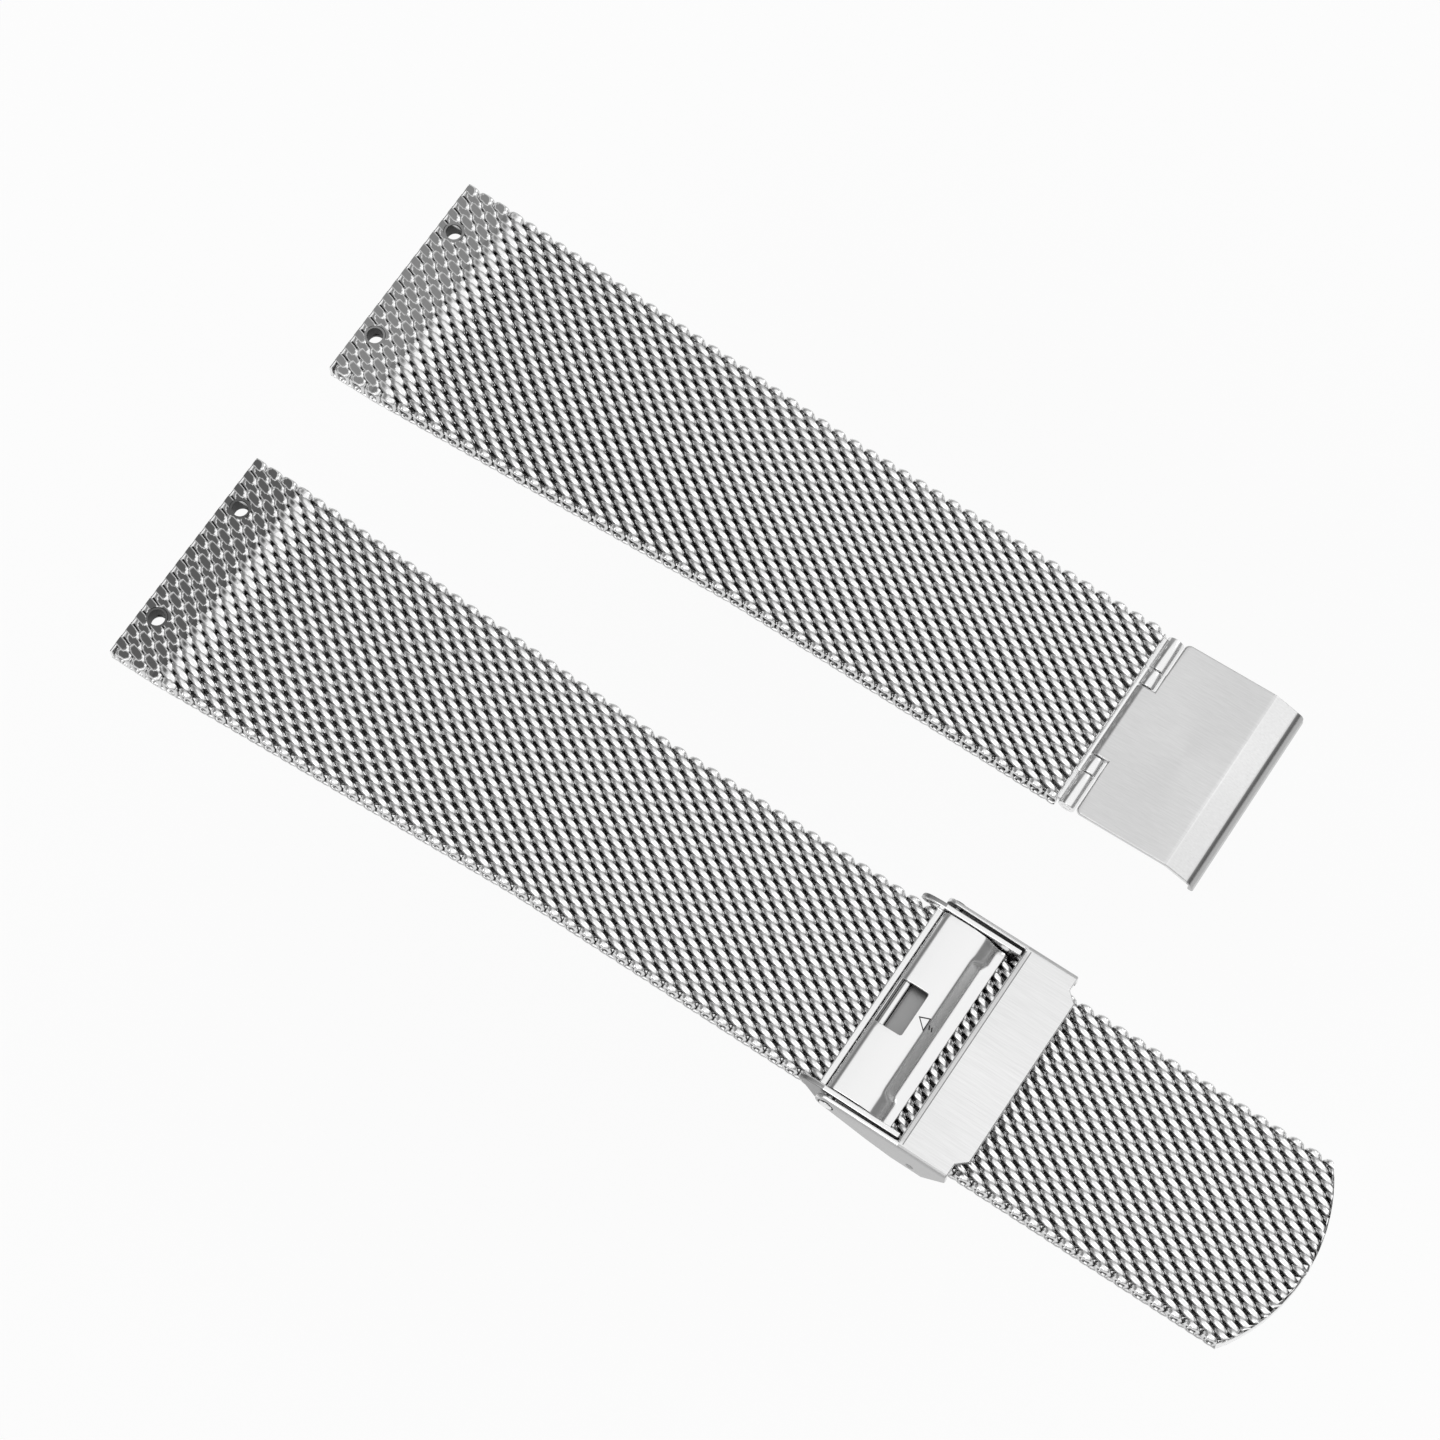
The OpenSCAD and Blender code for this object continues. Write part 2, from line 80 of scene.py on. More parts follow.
class Slot(Enum):
    """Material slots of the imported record."""

    MESH = "mesh"
    BRUSHED = "brushed"
    BRIGHT = "bright"


# Colours and nodes


def srgb(text: str) -> tuple[float, float, float, float]:
    """Turn an sRGB hex colour into linear light.

    Args:
        text: Six hex digits, such as "c8c8c8".

    Returns:
        Linear red, green and blue, and an alpha of one.
    """
    values = [int(text[i : i + 2], 16) / 255 for i in (0, 2, 4)]
    linear = [v / 12.92 if v <= 0.04045 else ((v + 0.055) / 1.055) ** 2.4 for v in values]
    return (linear[0], linear[1], linear[2], 1.0)


def add_node(
    tree: Any, kind: str, settings: dict[Any, Any] | None = None, links: dict[Any, Any] | None = None
) -> Any:
    """Add one node with its settings, socket values and links.

    Args:
        tree: Node tree that gets the node.
        kind: Blender's type name of the node, without "ShaderNode".
        settings: Values by name. A name that is an attribute of the node sets that, and any
            other name or number sets that input socket.
        links: Output sockets by the name or number of the input socket that each one feeds.

    Returns:
        The new node.
    """
    made = tree.nodes.new("ShaderNode" + kind)
    for name, value in (settings or {}).items():
        if isinstance(name, str) and hasattr(made, name):
            setattr(made, name, value)
        else:
            made.inputs[name].default_value = value
    for name, source in (links or {}).items():
        tree.links.new(source, made.inputs[name])
    return made


def set_ramp(ramp: Any, stops: Sequence[tuple[float, float]]) -> None:
    """Give a colour ramp its grey stops.

    Args:
        ramp: A colour ramp node.
        stops: Position and linear grey level of each stop, in order.
    """
    elements = ramp.color_ramp.elements
    while len(elements) > 1:
        elements.remove(elements[-1])
    for number, (position, level) in enumerate(stops):
        element = elements[0] if number == 0 else elements.new(position)
        element.position = position
        element.color = (level, level, level, 1.0)


@dataclass(frozen=True)
class Steel:
    """What every finish shares: a stainless metal whose pattern is fixed to the object."""

    name: str = "stainless"

    def make(self) -> Material:
        """Build the material.

        Returns:
            A material with the nodes of its finish.
        """
        material = bpy.data.materials.new(self.name)
        material.use_nodes = True
        shader = material.node_tree.nodes["Principled BSDF"]
        shader.inputs["Metallic"].default_value = 1.0
        place = add_node(material.node_tree, "TexCoord").outputs["Object"]
        self.dress(material.node_tree, shader.inputs, place)
        return material

    def dress(self, tree: Any, shader: Any, place: Any) -> None:
        """Add the finish's own nodes.

        Args:
            tree: Node tree of the material.
            shader: Input sockets of its shader.
            place: Socket that gives the place on the object.
        """
        raise NotImplementedError

    @staticmethod
    def mix(tree: Any, low: Any, high: Any, share: Any) -> Any:
        """Mix two linear colours by a socket, and give the socket of the result."""
        settings = {"data_type": "RGBA", 6: low, 7: high}
        return add_node(tree, "Mix", settings, {0: share}).outputs[2]

    @staticmethod
    def spread(tree: Any, low: float, high: float, share: Any) -> Any:
        """Spread a socket's zero to one from low to high, and give the socket of the result."""
        settings = {"To Min": low, "To Max": high}
        return add_node(tree, "MapRange", settings, {"Value": share}).outputs["Result"]

    @staticmethod
    def brush(
        tree: Any, shader: Any, place: Any, scale: Sequence[float], noise: dict[str, float], depth: float
    ) -> Any:
        """Brush the surface with a stretched noise, which also bumps it.

        Args:
            tree: Node tree of the material.
            shader: Input sockets of its shader.
            place: Socket that gives the place on the object.
            scale: Grains a metre along X, Y and Z.
            noise: Settings of the noise.
            depth: Strength of the bump, whose full height is a hundredth of a millimetre.

        Returns:
            Socket of the noise.
        """
        stretch = add_node(tree, "Mapping", {"Scale": scale}, {"Vector": place})
        vector = stretch.outputs["Vector"]
        grain = add_node(tree, "TexNoise", {"Scale": 1.0, **noise}, {"Vector": vector}).outputs["Fac"]
        bump = add_node(tree, "Bump", {"Strength": depth, "Distance": 0.01 * MM}, {"Height": grain})
        tree.links.new(bump.outputs["Normal"], shader["Normal"])
        return grain


@dataclass(frozen=True)
class DrawnWireSteel(Steel):
    """Drawn stainless wire, tumbled bright after weaving.

    Tumbling polishes what it reaches, so the crowns of the coils mirror the light and the
    wire deep between them stays dull. The deep wire and each strand's flanks are also
    painted dark, as shade between the coils, except in the band's edges. A point attribute
    of the weave, one on the crowns, says which is which.
    """

    name: str = "drawn_wire_stainless"
    crown: str = "ececec"
    deep_painted_shade: str = "5a5a5a"
    crown_roughness: float = 0.2
    deep_roughness: float = 0.45
    scratch_mm: float = 0.25
    scratch_roughness: float = 0.08

    def dress(self, tree: Any, shader: Any, place: Any) -> None:
        """Add the polish and painted shade that the attribute sets, and fine scratches."""
        # The attribute sets the roughness, and it paints shade: dark deep down and on the strands'
        # flanks, light on the crowns.
        relief = add_node(tree, "Attribute", {"attribute_name": "relief"}).outputs["Fac"]
        scale = 1 / (self.scratch_mm * MM)
        marks = add_node(tree, "TexNoise", {"Scale": scale, "Detail": 3.0}, {"Vector": place})
        rough = self.spread(tree, self.deep_roughness, self.crown_roughness, relief)
        mixed = add_node(
            tree, "Math", {"operation": "MULTIPLY_ADD", 1: self.scratch_roughness},
            {0: marks.outputs["Fac"], 2: rough},
        )
        colour = self.mix(tree, srgb(self.deep_painted_shade), srgb(self.crown), relief)
        tree.links.new(colour, shader["Base Color"])
        tree.links.new(mixed.outputs["Value"], shader["Roughness"])


@dataclass(frozen=True)
class GroundSteel(Steel):
    """Stainless wire ground flat at the lug ends.

    The wheel leaves fine lines across the band. The flats are painted an even dark grey, as
    a painted reflection, inside rims that get a painted highlight. The weave's own ground
    attribute is one on the flats.
    """

    name: str = "ground_stainless"
    colour: str = "5e5e5e"
    rim: str = "e4e4e4"
    roughness: float = 0.38
    line_mm: float = 0.06
    line_length_mm: float = 1.2

    def dress(self, tree: Any, shader: Any, place: Any) -> None:
        """Add the ground lines, the flats' painted dark grey and the rims' painted highlight."""
        fine = 1 / (self.line_mm * MM)
        scale = (fine, 1 / (self.line_length_mm * MM), fine)
        self.brush(tree, shader, place, scale, {"Detail": 2.0}, 0.3)
        # Painted light: dark grey on the flats, a bright highlight along their rims.
        inside = add_node(tree, "Attribute", {"attribute_name": "ground"}).outputs["Fac"]
        colour = self.mix(tree, srgb(self.rim), srgb(self.colour), inside)
        tree.links.new(colour, shader["Base Color"])
        shader["Roughness"].default_value = self.roughness


@dataclass(frozen=True)
class SatinSheetSteel(Steel):
    """Stainless sheet with a fine satin brushing along the band.

    Each grain is a shallow groove about as wide as the abrasive grit, so the sheet stays
    light grey and its highlights spread across the grain.
    """

    name: str = "satin_stainless"
    colour: str = "d4d4d4"
    roughness: float = 0.34
    grain_mm: float = 0.12
    grain_length_mm: float = 3.0
    anisotropic: float = 0.5
    streak: float = 0.15

    def dress(self, tree: Any, shader: Any, place: Any) -> None:
        """Add the grain along X, which also streaks the colour and the roughness."""
        across = 1 / (self.grain_mm * MM)
        scale = (1 / (self.grain_length_mm * MM), across, across)
        grain = self.brush(tree, shader, place, scale, {"Detail": 4.0, "Roughness": 0.6}, 0.4)
        light = np.array(srgb(self.colour)[:3])
        ends = [(*light * (1 + sign * self.streak), 1.0) for sign in (-1, 1)]
        tree.links.new(self.mix(tree, *ends, grain), shader["Base Color"])
        rough = self.spread(tree, self.roughness - 0.06, self.roughness + 0.06, grain)
        tree.links.new(rough, shader["Roughness"])
        shader["Anisotropic"].default_value = self.anisotropic


@dataclass(frozen=True)
class PolishedSteel(Steel):
    """Stainless sheet and bar, buffed bright.

    The buff leaves a soft mirror with faint haze.
    """

    name: str = "polished_stainless"
    colour: str = "e8e8e8"
    roughness: float = 0.16
    haze_mm: float = 1.2

    def dress(self, tree: Any, shader: Any, place: Any) -> None:
        """Add a haze that varies a little over the surface."""
        scale = 1 / (self.haze_mm * MM)
        haze = add_node(tree, "TexNoise", {"Scale": scale, "Detail": 3.0}, {"Vector": place})
        rough = self.spread(tree, self.roughness - 0.04, self.roughness + 0.08, haze.outputs["Fac"])
        tree.links.new(rough, shader["Roughness"])
        shader["Base Color"].default_value = srgb(self.colour)


class Finishes:
    """The finishes of the band, each made once."""

    def __init__(self) -> None:
        """Make every material."""
        self.wire = DrawnWireSteel().make()
        self.ground = GroundSteel().make()
        # The ground finish painted lighter: a painted brighter reflection on the short half's flats.
        self.ground_painted_lighter = GroundSteel("ground_stainless_painted_lighter", "8a8a8a").make()
        self.satin = SatinSheetSteel().make()
        # A finer satin painted lighter, for the cover's top and the hook plate's bent end.
        self.satin_painted_lighter = SatinSheetSteel("satin_stainless_painted_lighter", "e3e3e3", 0.3).make()
        # A rougher satin painted darker, as shade, for the cover's outer sides.
        self.satin_painted_darker = SatinSheetSteel("satin_stainless_painted_darker", "c2c2c2", 0.5).make()
        self.polished = PolishedSteel().make()
        # A duller steel painted darker, as shade, for hollows, undersides and inner faces.
        self.inner = PolishedSteel("dull_stainless_painted_shade", "969696", 0.38).make()
        # Dark steel: the engraved marks, and painted shade in the lug holes' bores and the pin seats.
        self.engraving_and_shade = PolishedSteel("engraved_and_shaded_stainless", "424242", 0.55).make()
        # A polished steel painted darker, as shade, for the hook plate's lip, which turns down.
        self.bent = PolishedSteel("lip_stainless_painted_shade", "b0b0b0", 0.2).make()


# Meshes


def tube(rings: int, sides: int, tubes: int = 1) -> list[np.ndarray]:
    """Give the faces of equal tubes laid out one after another.

    A quad joins side k and k + 1 of ring j to the same sides of ring j + 1. A cap closes
    each end.

    Args:
        rings: Rings along each tube.
        sides: Sides round each ring.
        tubes: Number of tubes.

    Returns:
        The quads, four vertex numbers a row, and the caps, as many a row as there are sides.
    """
    k = np.arange(sides)
    a = np.arange(rings - 1)[:, None] * sides + k
    b = np.arange(rings - 1)[:, None] * sides + (k + 1) % sides
    quads = np.stack([a, b, b + sides, a + sides], -1).reshape(-1, 4)
    starts = np.arange(tubes)[:, None] * rings * sides
    caps = np.concatenate([starts + k[::-1], starts + (rings - 1) * sides + k])
    return [(quads[None] + starts[..., None]).reshape(-1, 4), caps]


def link_object(name: str, data: Any) -> Object:
    """Link a new object with the given data to the scene."""
    made = bpy.data.objects.new(name, data)
    bpy.context.scene.collection.objects.link(made)
    return made


def mesh_object(name: str, points: np.ndarray, faces: Sequence[np.ndarray]) -> Object:
    """Put whole arrays of points and faces into a new mesh object.

    Args:
        name: Name of the piece.
        points: Vertices in metres, three numbers a row.
        faces: Arrays of faces, each with one number of corners a row.

    Returns:
        The object, linked to the scene, with its place in its mesh.
    """
    mesh = bpy.data.meshes.new(name)
    corners = np.concatenate([f.ravel() for f in faces]).astype(np.int32)
    totals = np.concatenate([np.full(len(f), f.shape[1]) for f in faces]).astype(np.int32)
    starts = np.concatenate([[0], np.cumsum(totals)[:-1]]).astype(np.int32)
    mesh.vertices.add(len(points))
    mesh.vertices.foreach_set("co", points.astype(np.float32).ravel())
    mesh.loops.add(len(corners))
    mesh.loops.foreach_set("vertex_index", corners)
    mesh.polygons.add(len(totals))
    mesh.polygons.foreach_set("loop_start", starts)
    mesh.update(calc_edges=True)
    mesh.validate()
    LOG.info("%s: %d faces", name, len(mesh.polygons))
    return link_object(name, mesh)


def read(items: Any, field: str, kind: type, width: int = 1) -> np.ndarray:
    """Read one value of every vertex, loop or face of a mesh into an array.

    Args:
        items: The mesh's vertices, loops or polygons.
        field: Name of the value.
        kind: Type of number.
        width: Numbers a value.

    Returns:
        A row for each item, or a flat array if a value is one number.
    """
    values = np.zeros(len(items) * width, kind)
    items.foreach_get(field, values)
    return values.reshape(-1, width) if width > 1 else values


def write_values(mesh: Any, name: str, values: np.ndarray) -> None:
    """Give a mesh a new attribute with one number a point."""
    data = mesh.attributes.new(name, "FLOAT", "POINT").data
    data.foreach_set("value", values.astype(np.float32))


def move_points(mesh: Any, change: Callable[[np.ndarray], np.ndarray]) -> None:
    """Move all points of a mesh at once.

    Args:
        mesh: The mesh.
        change: Gives the new places for the old ones, three numbers a row, in metres.
    """
    moved = change(read(mesh.vertices, "co", np.float32, 3))
    mesh.vertices.foreach_set("co", moved.astype(np.float32).ravel())
    mesh.update()


def shade(mesh: Any, sharp_from: float) -> None:
    """Shade a mesh smooth but for edges sharper than an angle in degrees."""
    mesh.shade_smooth()
    mesh.set_sharp_from_angle(angle=math.radians(sharp_from))


@contextmanager
def edited(mesh: Any) -> Iterator[Any]:
    """Give a mesh for editing, and take it back when that is done."""
    work = bmesh.new()
    work.from_mesh(mesh)
    yield work
    work.to_mesh(mesh)
    work.free()


def cut_across(mesh: Any, cuts: Sequence[tuple[Any, Any]]) -> None:
    """Cut a mesh along planes, without taking anything away.

    Args:
        mesh: The mesh.
        cuts: A point on each plane, in metres, and the plane's normal.
    """
    with edited(mesh) as work:
        for place, normal in cuts:
            everything = list(work.verts) + list(work.edges) + list(work.faces)
            bmesh.ops.bisect_plane(work, geom=everything, plane_co=place, plane_no=normal)


def turn_outward(mesh: Any) -> None:
    """Turn the faces of a closed mesh outward."""
    with edited(mesh) as work:
        bmesh.ops.recalc_face_normals(work, faces=work.faces)


def shell_faces(quads: np.ndarray, count: int) -> np.ndarray:
    """Close the space between two matching surfaces.

    The second surface holds the same points as the first in the same order, count numbers
    on. Its quads are turned round, and an edge that only one quad has gets a side face.

    Args:
        quads: Quads of the first surface, seen from outside.
        count: Points in one surface.

    Returns:
        Quads of the closed shell.
    """
    edges = np.stack([quads, np.roll(quads, -1, axis=1)], -1).reshape(-1, 2)
    forward = edges[:, 0].astype(np.int64) * count + edges[:, 1]
    backward = edges[:, 1].astype(np.int64) * count + edges[:, 0]
    rim = edges[~np.isin(forward, backward)]
    sides = np.stack([rim[:, 1], rim[:, 0], rim[:, 0] + count, rim[:, 1] + count], -1)
    return np.concatenate([quads, quads[:, ::-1] + count, sides])


def signed_power(x: np.ndarray, power: Any) -> np.ndarray:
    """Raise the size of each value to a power and keep its sign."""
    return np.sign(x) * np.abs(x) ** power


def smooth(x: np.ndarray, low: float, high: float) -> np.ndarray:
    """Rise smoothly from zero at low to one at high, as 3t^2 - 2t^3.

    Args:
        x: Values.
        low: Where the rise starts.
        high: Where it ends.

    Returns:
        The risen values.
    """
    t = np.clip((x - low) / (high - low), 0, 1)
    return t * t * (3 - 2 * t)


def round_over(
    u: np.ndarray, v: np.ndarray, centre: tuple[float, float], radius: float, sweep: float
) -> tuple[np.ndarray, np.ndarray]:
    """Bring points that stand beyond an arc back onto it, towards the arc's centre.

    Args:
        u: First coordinate of each point.
        v: Second coordinate.
        centre: Centre of the arc.
        radius: Radius of the arc.
        sweep: Angle that the arc spans from the first axis towards the second, in radians.

    Returns:
        The two coordinates of the moved points.
    """
    away_u, away_v = u - centre[0], v - centre[1]
    distance = np.hypot(away_u, away_v)
    angle = np.arctan2(away_v, away_u)
    beyond = (distance > radius) & (angle > 0) & (angle < sweep)
    scale = np.where(beyond, radius / np.maximum(distance, 1e-6), 1.0)
    return centre[0] + away_u * scale, centre[1] + away_v * scale


def settle(
    piece: Object, body: str, materials: Sequence[Material], choice: np.ndarray | None = None
) -> None:
    """Give a piece its finishes and the body that it rides on.

    Args:
        piece: The piece, which has no finish yet.
        body: CAD body that it rides on.
        materials: Its finishes.
        choice: For each face, the number of its finish, or None for the first finish.
    """
    mesh = piece.data
    for material in materials:
        mesh.materials.append(material)
    numbers = np.zeros(len(mesh.polygons)) if choice is None else choice
    mesh.polygons.foreach_set("material_index", numbers.astype(np.int32))
    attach(piece, body)


# The weave


@dataclass(frozen=True)
class Bar:
    """A brazed edge bar: how far in its middle lies, its width, and how far short it stops."""

    place: float
    width: float
    inset: float = 0.0


@dataclass
class Weave:
    """One half of the band as interlocked wire coils.

    Each coil is a near-round helix that runs across the band. Neighbours stand closer than
    a coil is wide, so they hook into each other, half a turn apart.
    """

    half: Half
    length: float
    wire: Material
    ground: Material
    painted_bore_shade: Material
    edge: Material
    turns: int = 15
    low_run: tuple[float, float] = (-0.75, -0.05)
    high_run: tuple[float, float] = (-0.45, 0.25)
    spacing: float = 0.853
    lug_spacing: float = 0.817
    widening: tuple[int, int] = (4, 24)
    reach: float = 1.0
    edge_reach: float = 0.6
    ring_turns: float = 1.2
    wire_across: float = 0.6
    wire_thick: float = 0.5
    leaf_taper: float = 0.4
    angle_crowding: float = 0.22
    section_crowding: float = 0.35
    section_power: float = 0.85
    section_span: float = 105.0
    crown_power: float = 0.3
    crown_slant: float = 0.3
    crown_z: tuple[float, float] = (0.35, 0.85)
    side_shade: float = 0.75
    edge_relief: float = 0.8
    mesh_t: float = 2.2
    lug_w: float = 22.0
    band_w: float = 18.7
    flare_from: float = 5.0
    flare_to: float = 42.0
    ground_t: float = 1.9
    ground_len: float = 4.5
    ground_run_out: float = 1.5
    ground_across: float = 0.86
    ground_power: float = 0.28
    ground_step: float = 0.006
    painted_rim_depths: tuple[float, float] = (0.04, 0.07)
    fine_samples: tuple[int, int] = (32, 12)
    plain_samples: tuple[int, int] = (12, 6)
    end_cut: float = 0.45
    hole_d: float = 1.5
    hole_spacing: float = 12.4
    hole_inset: float = 1.65
    hole_wall: float = 0.24
    wall_overlap: float = 0.05
    lug_bar: Bar = Bar(0.16, 0.3, 0.02)
    tip_bar: Bar = Bar(0.14, 0.26)
    hinge_bar: Bar = Bar(0.12, 0.22, 0.4)
    lug_bar_lower: float = 0.04
    far_bar_lower: float = 0.5
    end_margin: float = 0.05
    tip_bulge: float = 0.0
    tip_trim: float = 0.07
    first_bend: float = 16.0
    bend_pitch: float = 9.0
    bends: int = 6
    tail_split: float = 91.0

    def __post_init__(self) -> None:
        """Take the half's place from its first CAD node."""
        low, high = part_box(f"{self.half.value}_mesh_lug_end")
        middle = (low + high) / 2
        self.origin = np.array([low.x, middle.y, middle.z]) / MM

    def placed(self, local: np.ndarray) -> np.ndarray:
        """Bring points from the half's own frame in millimetres into the row frame."""
        return (local.reshape(-1, 3) + self.origin) * MM

    def half_width(self, x: np.ndarray) -> np.ndarray:
        """Give half the band's width at a distance from the lug end: full, then an even taper."""
        return np.interp(x, [self.flare_from, self.flare_to], [self.lug_w / 2, self.band_w / 2])

    def half_height(self, x: np.ndarray) -> np.ndarray:
        """Give half the thickness at a distance from the lug end: ground, run out, full."""
        ends = [self.ground_len, self.ground_len + self.ground_run_out]
        return np.interp(x, ends, [self.ground_t / 2, self.mesh_t / 2])

    def coil_centres(self) -> np.ndarray:
        """Place the coils from end to end, a little closer at the lug end.

        Returns:
            Distance of each coil's axis from the lug end.
        """
        first, last = self.widening
        run = self.length - 2 * self.end_cut
        closer = (last - first) * (1 - self.lug_spacing / self.spacing)
        count = round((run - closer) / self.spacing) + 1
        steps = np.interp(np.arange(count - 1), self.widening, [self.lug_spacing, self.spacing])
        places = np.concatenate([[0], np.cumsum(steps)])
        return self.end_cut + places * run / places[-1]

    def angles(self, first: float, last: float, per_turn: int) -> np.ndarray:
        """Share the angles of one coil so that they are closer at its top and bottom.

        The angle is a + b sin 2a with a growing evenly, which crowds the samples where the
        sine's slope is negative.

        Args:
            first: Turns at which the coil starts.
            last: Turns at which it ends.
            per_turn: Samples a turn.

        Returns:
            Angles in radians, from the side that faces the tip.
        """
        even = np.linspace(first, last, round((last - first) * per_turn) + 1) * TURN
        return even + self.angle_crowding * np.sin(2 * even)

    def coil_points(
        self, centres: np.ndarray, ring_low: bool, per_turn: int, sides: int
    ) -> tuple[np.ndarray, np.ndarray]:
        """Work out the surface of coils of one kind.

        The centre line is x = c + A cos a, z = B sin a to a power below one, which flattens
        the crown. y grows with the angle as a - m sin(2a) / 2, so the wire slants most over
        its crowns and least where it hooks round its neighbours.
        Coils of the two kinds stand half a pitch apart. One kind ends in a flat ring in the
        +Y edge and the other in the -Y edge, a quarter pitch inside the outline, and the
        other end of each stops beside its neighbour's ring. The wire's section is an oval,
        wide across the band and open on the side that faces the coil's axis. It narrows by
        the squared cosine of a, so each crown is a leaf, and its flanks are duller and
        painted dark, as shade. Where the coils are ground flat they are pressed wider, and
        their crowns are flatter.

        Args:
            centres: Distances of the coil axes from the lug end.
            ring_low: True for the coils whose ring lies in the -Y edge.
            per_turn: Samples a turn.
            sides: Sides round the wire.

        Returns:
            Points in millimetres in the half's own frame, and the share from 0 to 1 that
            sets the wire's polish and painted shade, each with axes for the coil, the ring and
            the side.
        """
        first, beyond = self.low_run if ring_low else self.high_run
        a = self.angles(first, self.turns + beyond, per_turn)
        place = a / TURN + (0.0 if ring_low else 0.5)
        place -= self.crown_slant * np.sin(2 * a) / (2 * TURN)
        along = np.clip((place - 0.25) / (self.turns - 0.5), 0, 1) * 2 - 1
        at_end = smooth(-along if ring_low else along, 1 - self.ring_turns / self.turns, 1.0)
        reach = self.reach + (self.edge_reach - self.reach) * at_end
        rise = (self.mesh_t - self.wire_thick) / 2
        even = np.linspace(-1, 1, sides)
        section = math.radians(self.section_span) * even
        section = section * (1 + self.section_crowding * (1 - even**2))
        out = signed_power(np.cos(section), self.section_power) * self.wire_thick / 2
        ends = [self.ground_len, self.ground_len + 2 * self.ground_run_out]
        across = np.interp(centres, ends, [self.ground_across, self.wire_across])[:, None, None]
        taper = np.interp(centres, ends, [0.0, self.leaf_taper])[:, None, None]
        power = np.interp(centres, ends, [self.ground_power, self.crown_power])[:, None]
        half_w = self.half_width(centres)[:, None] - across[..., 0] / 2
        side = signed_power(np.sin(section), self.section_power)[None, None] * across / 2
        side = side * (1 - taper * (np.cos(a) ** 2)[None, :, None])
        x_line = centres[:, None] + (reach * np.cos(a))[None]
        y_line = along[None] * half_w
        z_line = rise * signed_power(np.sin(a)[None], power)
        slope = np.gradient(y_line, axis=1) / (np.gradient(a)[None] * self.reach)
        tilt = np.arctan(slope)[..., None]
        radial_x, radial_z = np.cos(a)[None, :, None], np.sin(a)[None, :, None]
        x = x_line[..., None] + radial_x * out + np.sin(tilt) * radial_z * side
        y = y_line[..., None] + np.cos(tilt) * side
        z = z_line[..., None] + radial_z * out - np.sin(tilt) * radial_x * side
        # Painted shade: darker towards the coil's middle and on the strand's flanks, less so in the
        # band's edges. It also sets the polish.
        relief = smooth(np.abs(z), *self.crown_z)
        relief = relief * (1 - self.side_shade * smooth(np.abs(np.sin(section)), 0.5, 1.0))
        edge = smooth(np.abs(y) - self.half_width(centres)[:, None, None], -0.5, -0.2)
        return np.stack([x, y, z], -1), np.maximum(relief, self.edge_relief * edge)

    @property
    def tip_radius(self) -> float:
        """Radius of the tip's arc, from its chord across the band and its bulge."""
        return ((self.band_w / 2) ** 2 + self.tip_bulge**2) / (2 * self.tip_bulge)

    def cut_to_tip(self, points: np.ndarray) -> np.ndarray:
        """Move points past the round tip back onto it, towards the middle of the band.

        Args:
            points: Points in the half's own frame.

        Returns:
            The points inside the tip's arc.
        """
        if not self.tip_bulge:
            return points
        middle = self.length - self.tip_trim - self.tip_radius
        x, y = points[..., 0], points[..., 1]
        beyond = np.maximum(x - middle, 0)
        widest = np.sqrt(np.maximum(self.tip_radius**2 - beyond**2, 0.01))
        made = points.copy()
        made[..., 1] = np.where(x > middle, np.clip(y, -widest, widest), y)
        return made

    def surfaces(self, start: float, end: float) -> tuple[list[np.ndarray], ...]:
        """Work out the coils between two distances from the lug end, cut to the outline.

        Coils at the lug end get more samples. The two kinds of coil, and the turns of each
        one by turns, are ground a few microns apart, so no two flats lie in one plane.

        Args:
            start: Where the stretch starts.
            end: Where it ends.

        Returns:
            Lists of arrays, one for each group of coils: the points, their polish and painted
            shade, how far each one stood out before it was ground away, and the faces.
        """
        centres = self.coil_centres()
        chosen = (centres >= start) & (centres < end)
        near = centres < self.ground_len + self.ground_run_out + self.reach
        points, reliefs, depths, faces = [], [], [], []
        offset = 0
        for ring_low in (False, True):
            family = chosen & (np.arange(len(centres)) % 2 == int(ring_low))
            groups = ((family & near, self.fine_samples), (family & ~near, self.plain_samples))
            for members, (per_turn, sides) in groups:
                if not members.any():
                    continue
                p, relief = self.coil_points(centres[members], ring_low, per_turn, sides)
                p = self.cut_to_tip(p)
                odd = (np.arange(p.shape[1]) // per_turn % 2)[None, :, None]
                limit = self.half_height(p[..., 0]) - self.ground_step * (ring_low + 0.5 * odd)
                depths.append((np.abs(p[..., 2]) - limit).ravel())
                p[..., 2] = np.clip(p[..., 2], -limit, limit)
                p[..., 0] = np.clip(p[..., 0], self.end_margin, self.length - self.end_margin)
                faces += [f + offset for f in tube(p.shape[1], sides, p.shape[0])]
                offset += p[..., 0].size
                points.append(p.reshape(-1, 3))
                reliefs.append(relief.ravel())
        return points, reliefs, depths, faces

    def piece(self, name: str, start: float, end: float, fine: bool = False) -> Object:
        """Build the coils between two distances from the lug end as one piece.

        A face that lies in the ground plane gets the ground finish, and like the caps it is
        shaded flat.

        Args:
            name: Name of the piece.
            start: Where the stretch starts.
            end: Where it ends.
            fine: True for the stretch with the lug holes.

        Returns:
            The dressed piece.
        """
        points, reliefs, depths, faces = self.surfaces(start, end)
        local = np.concatenate(points)
        relief = np.concatenate(reliefs)
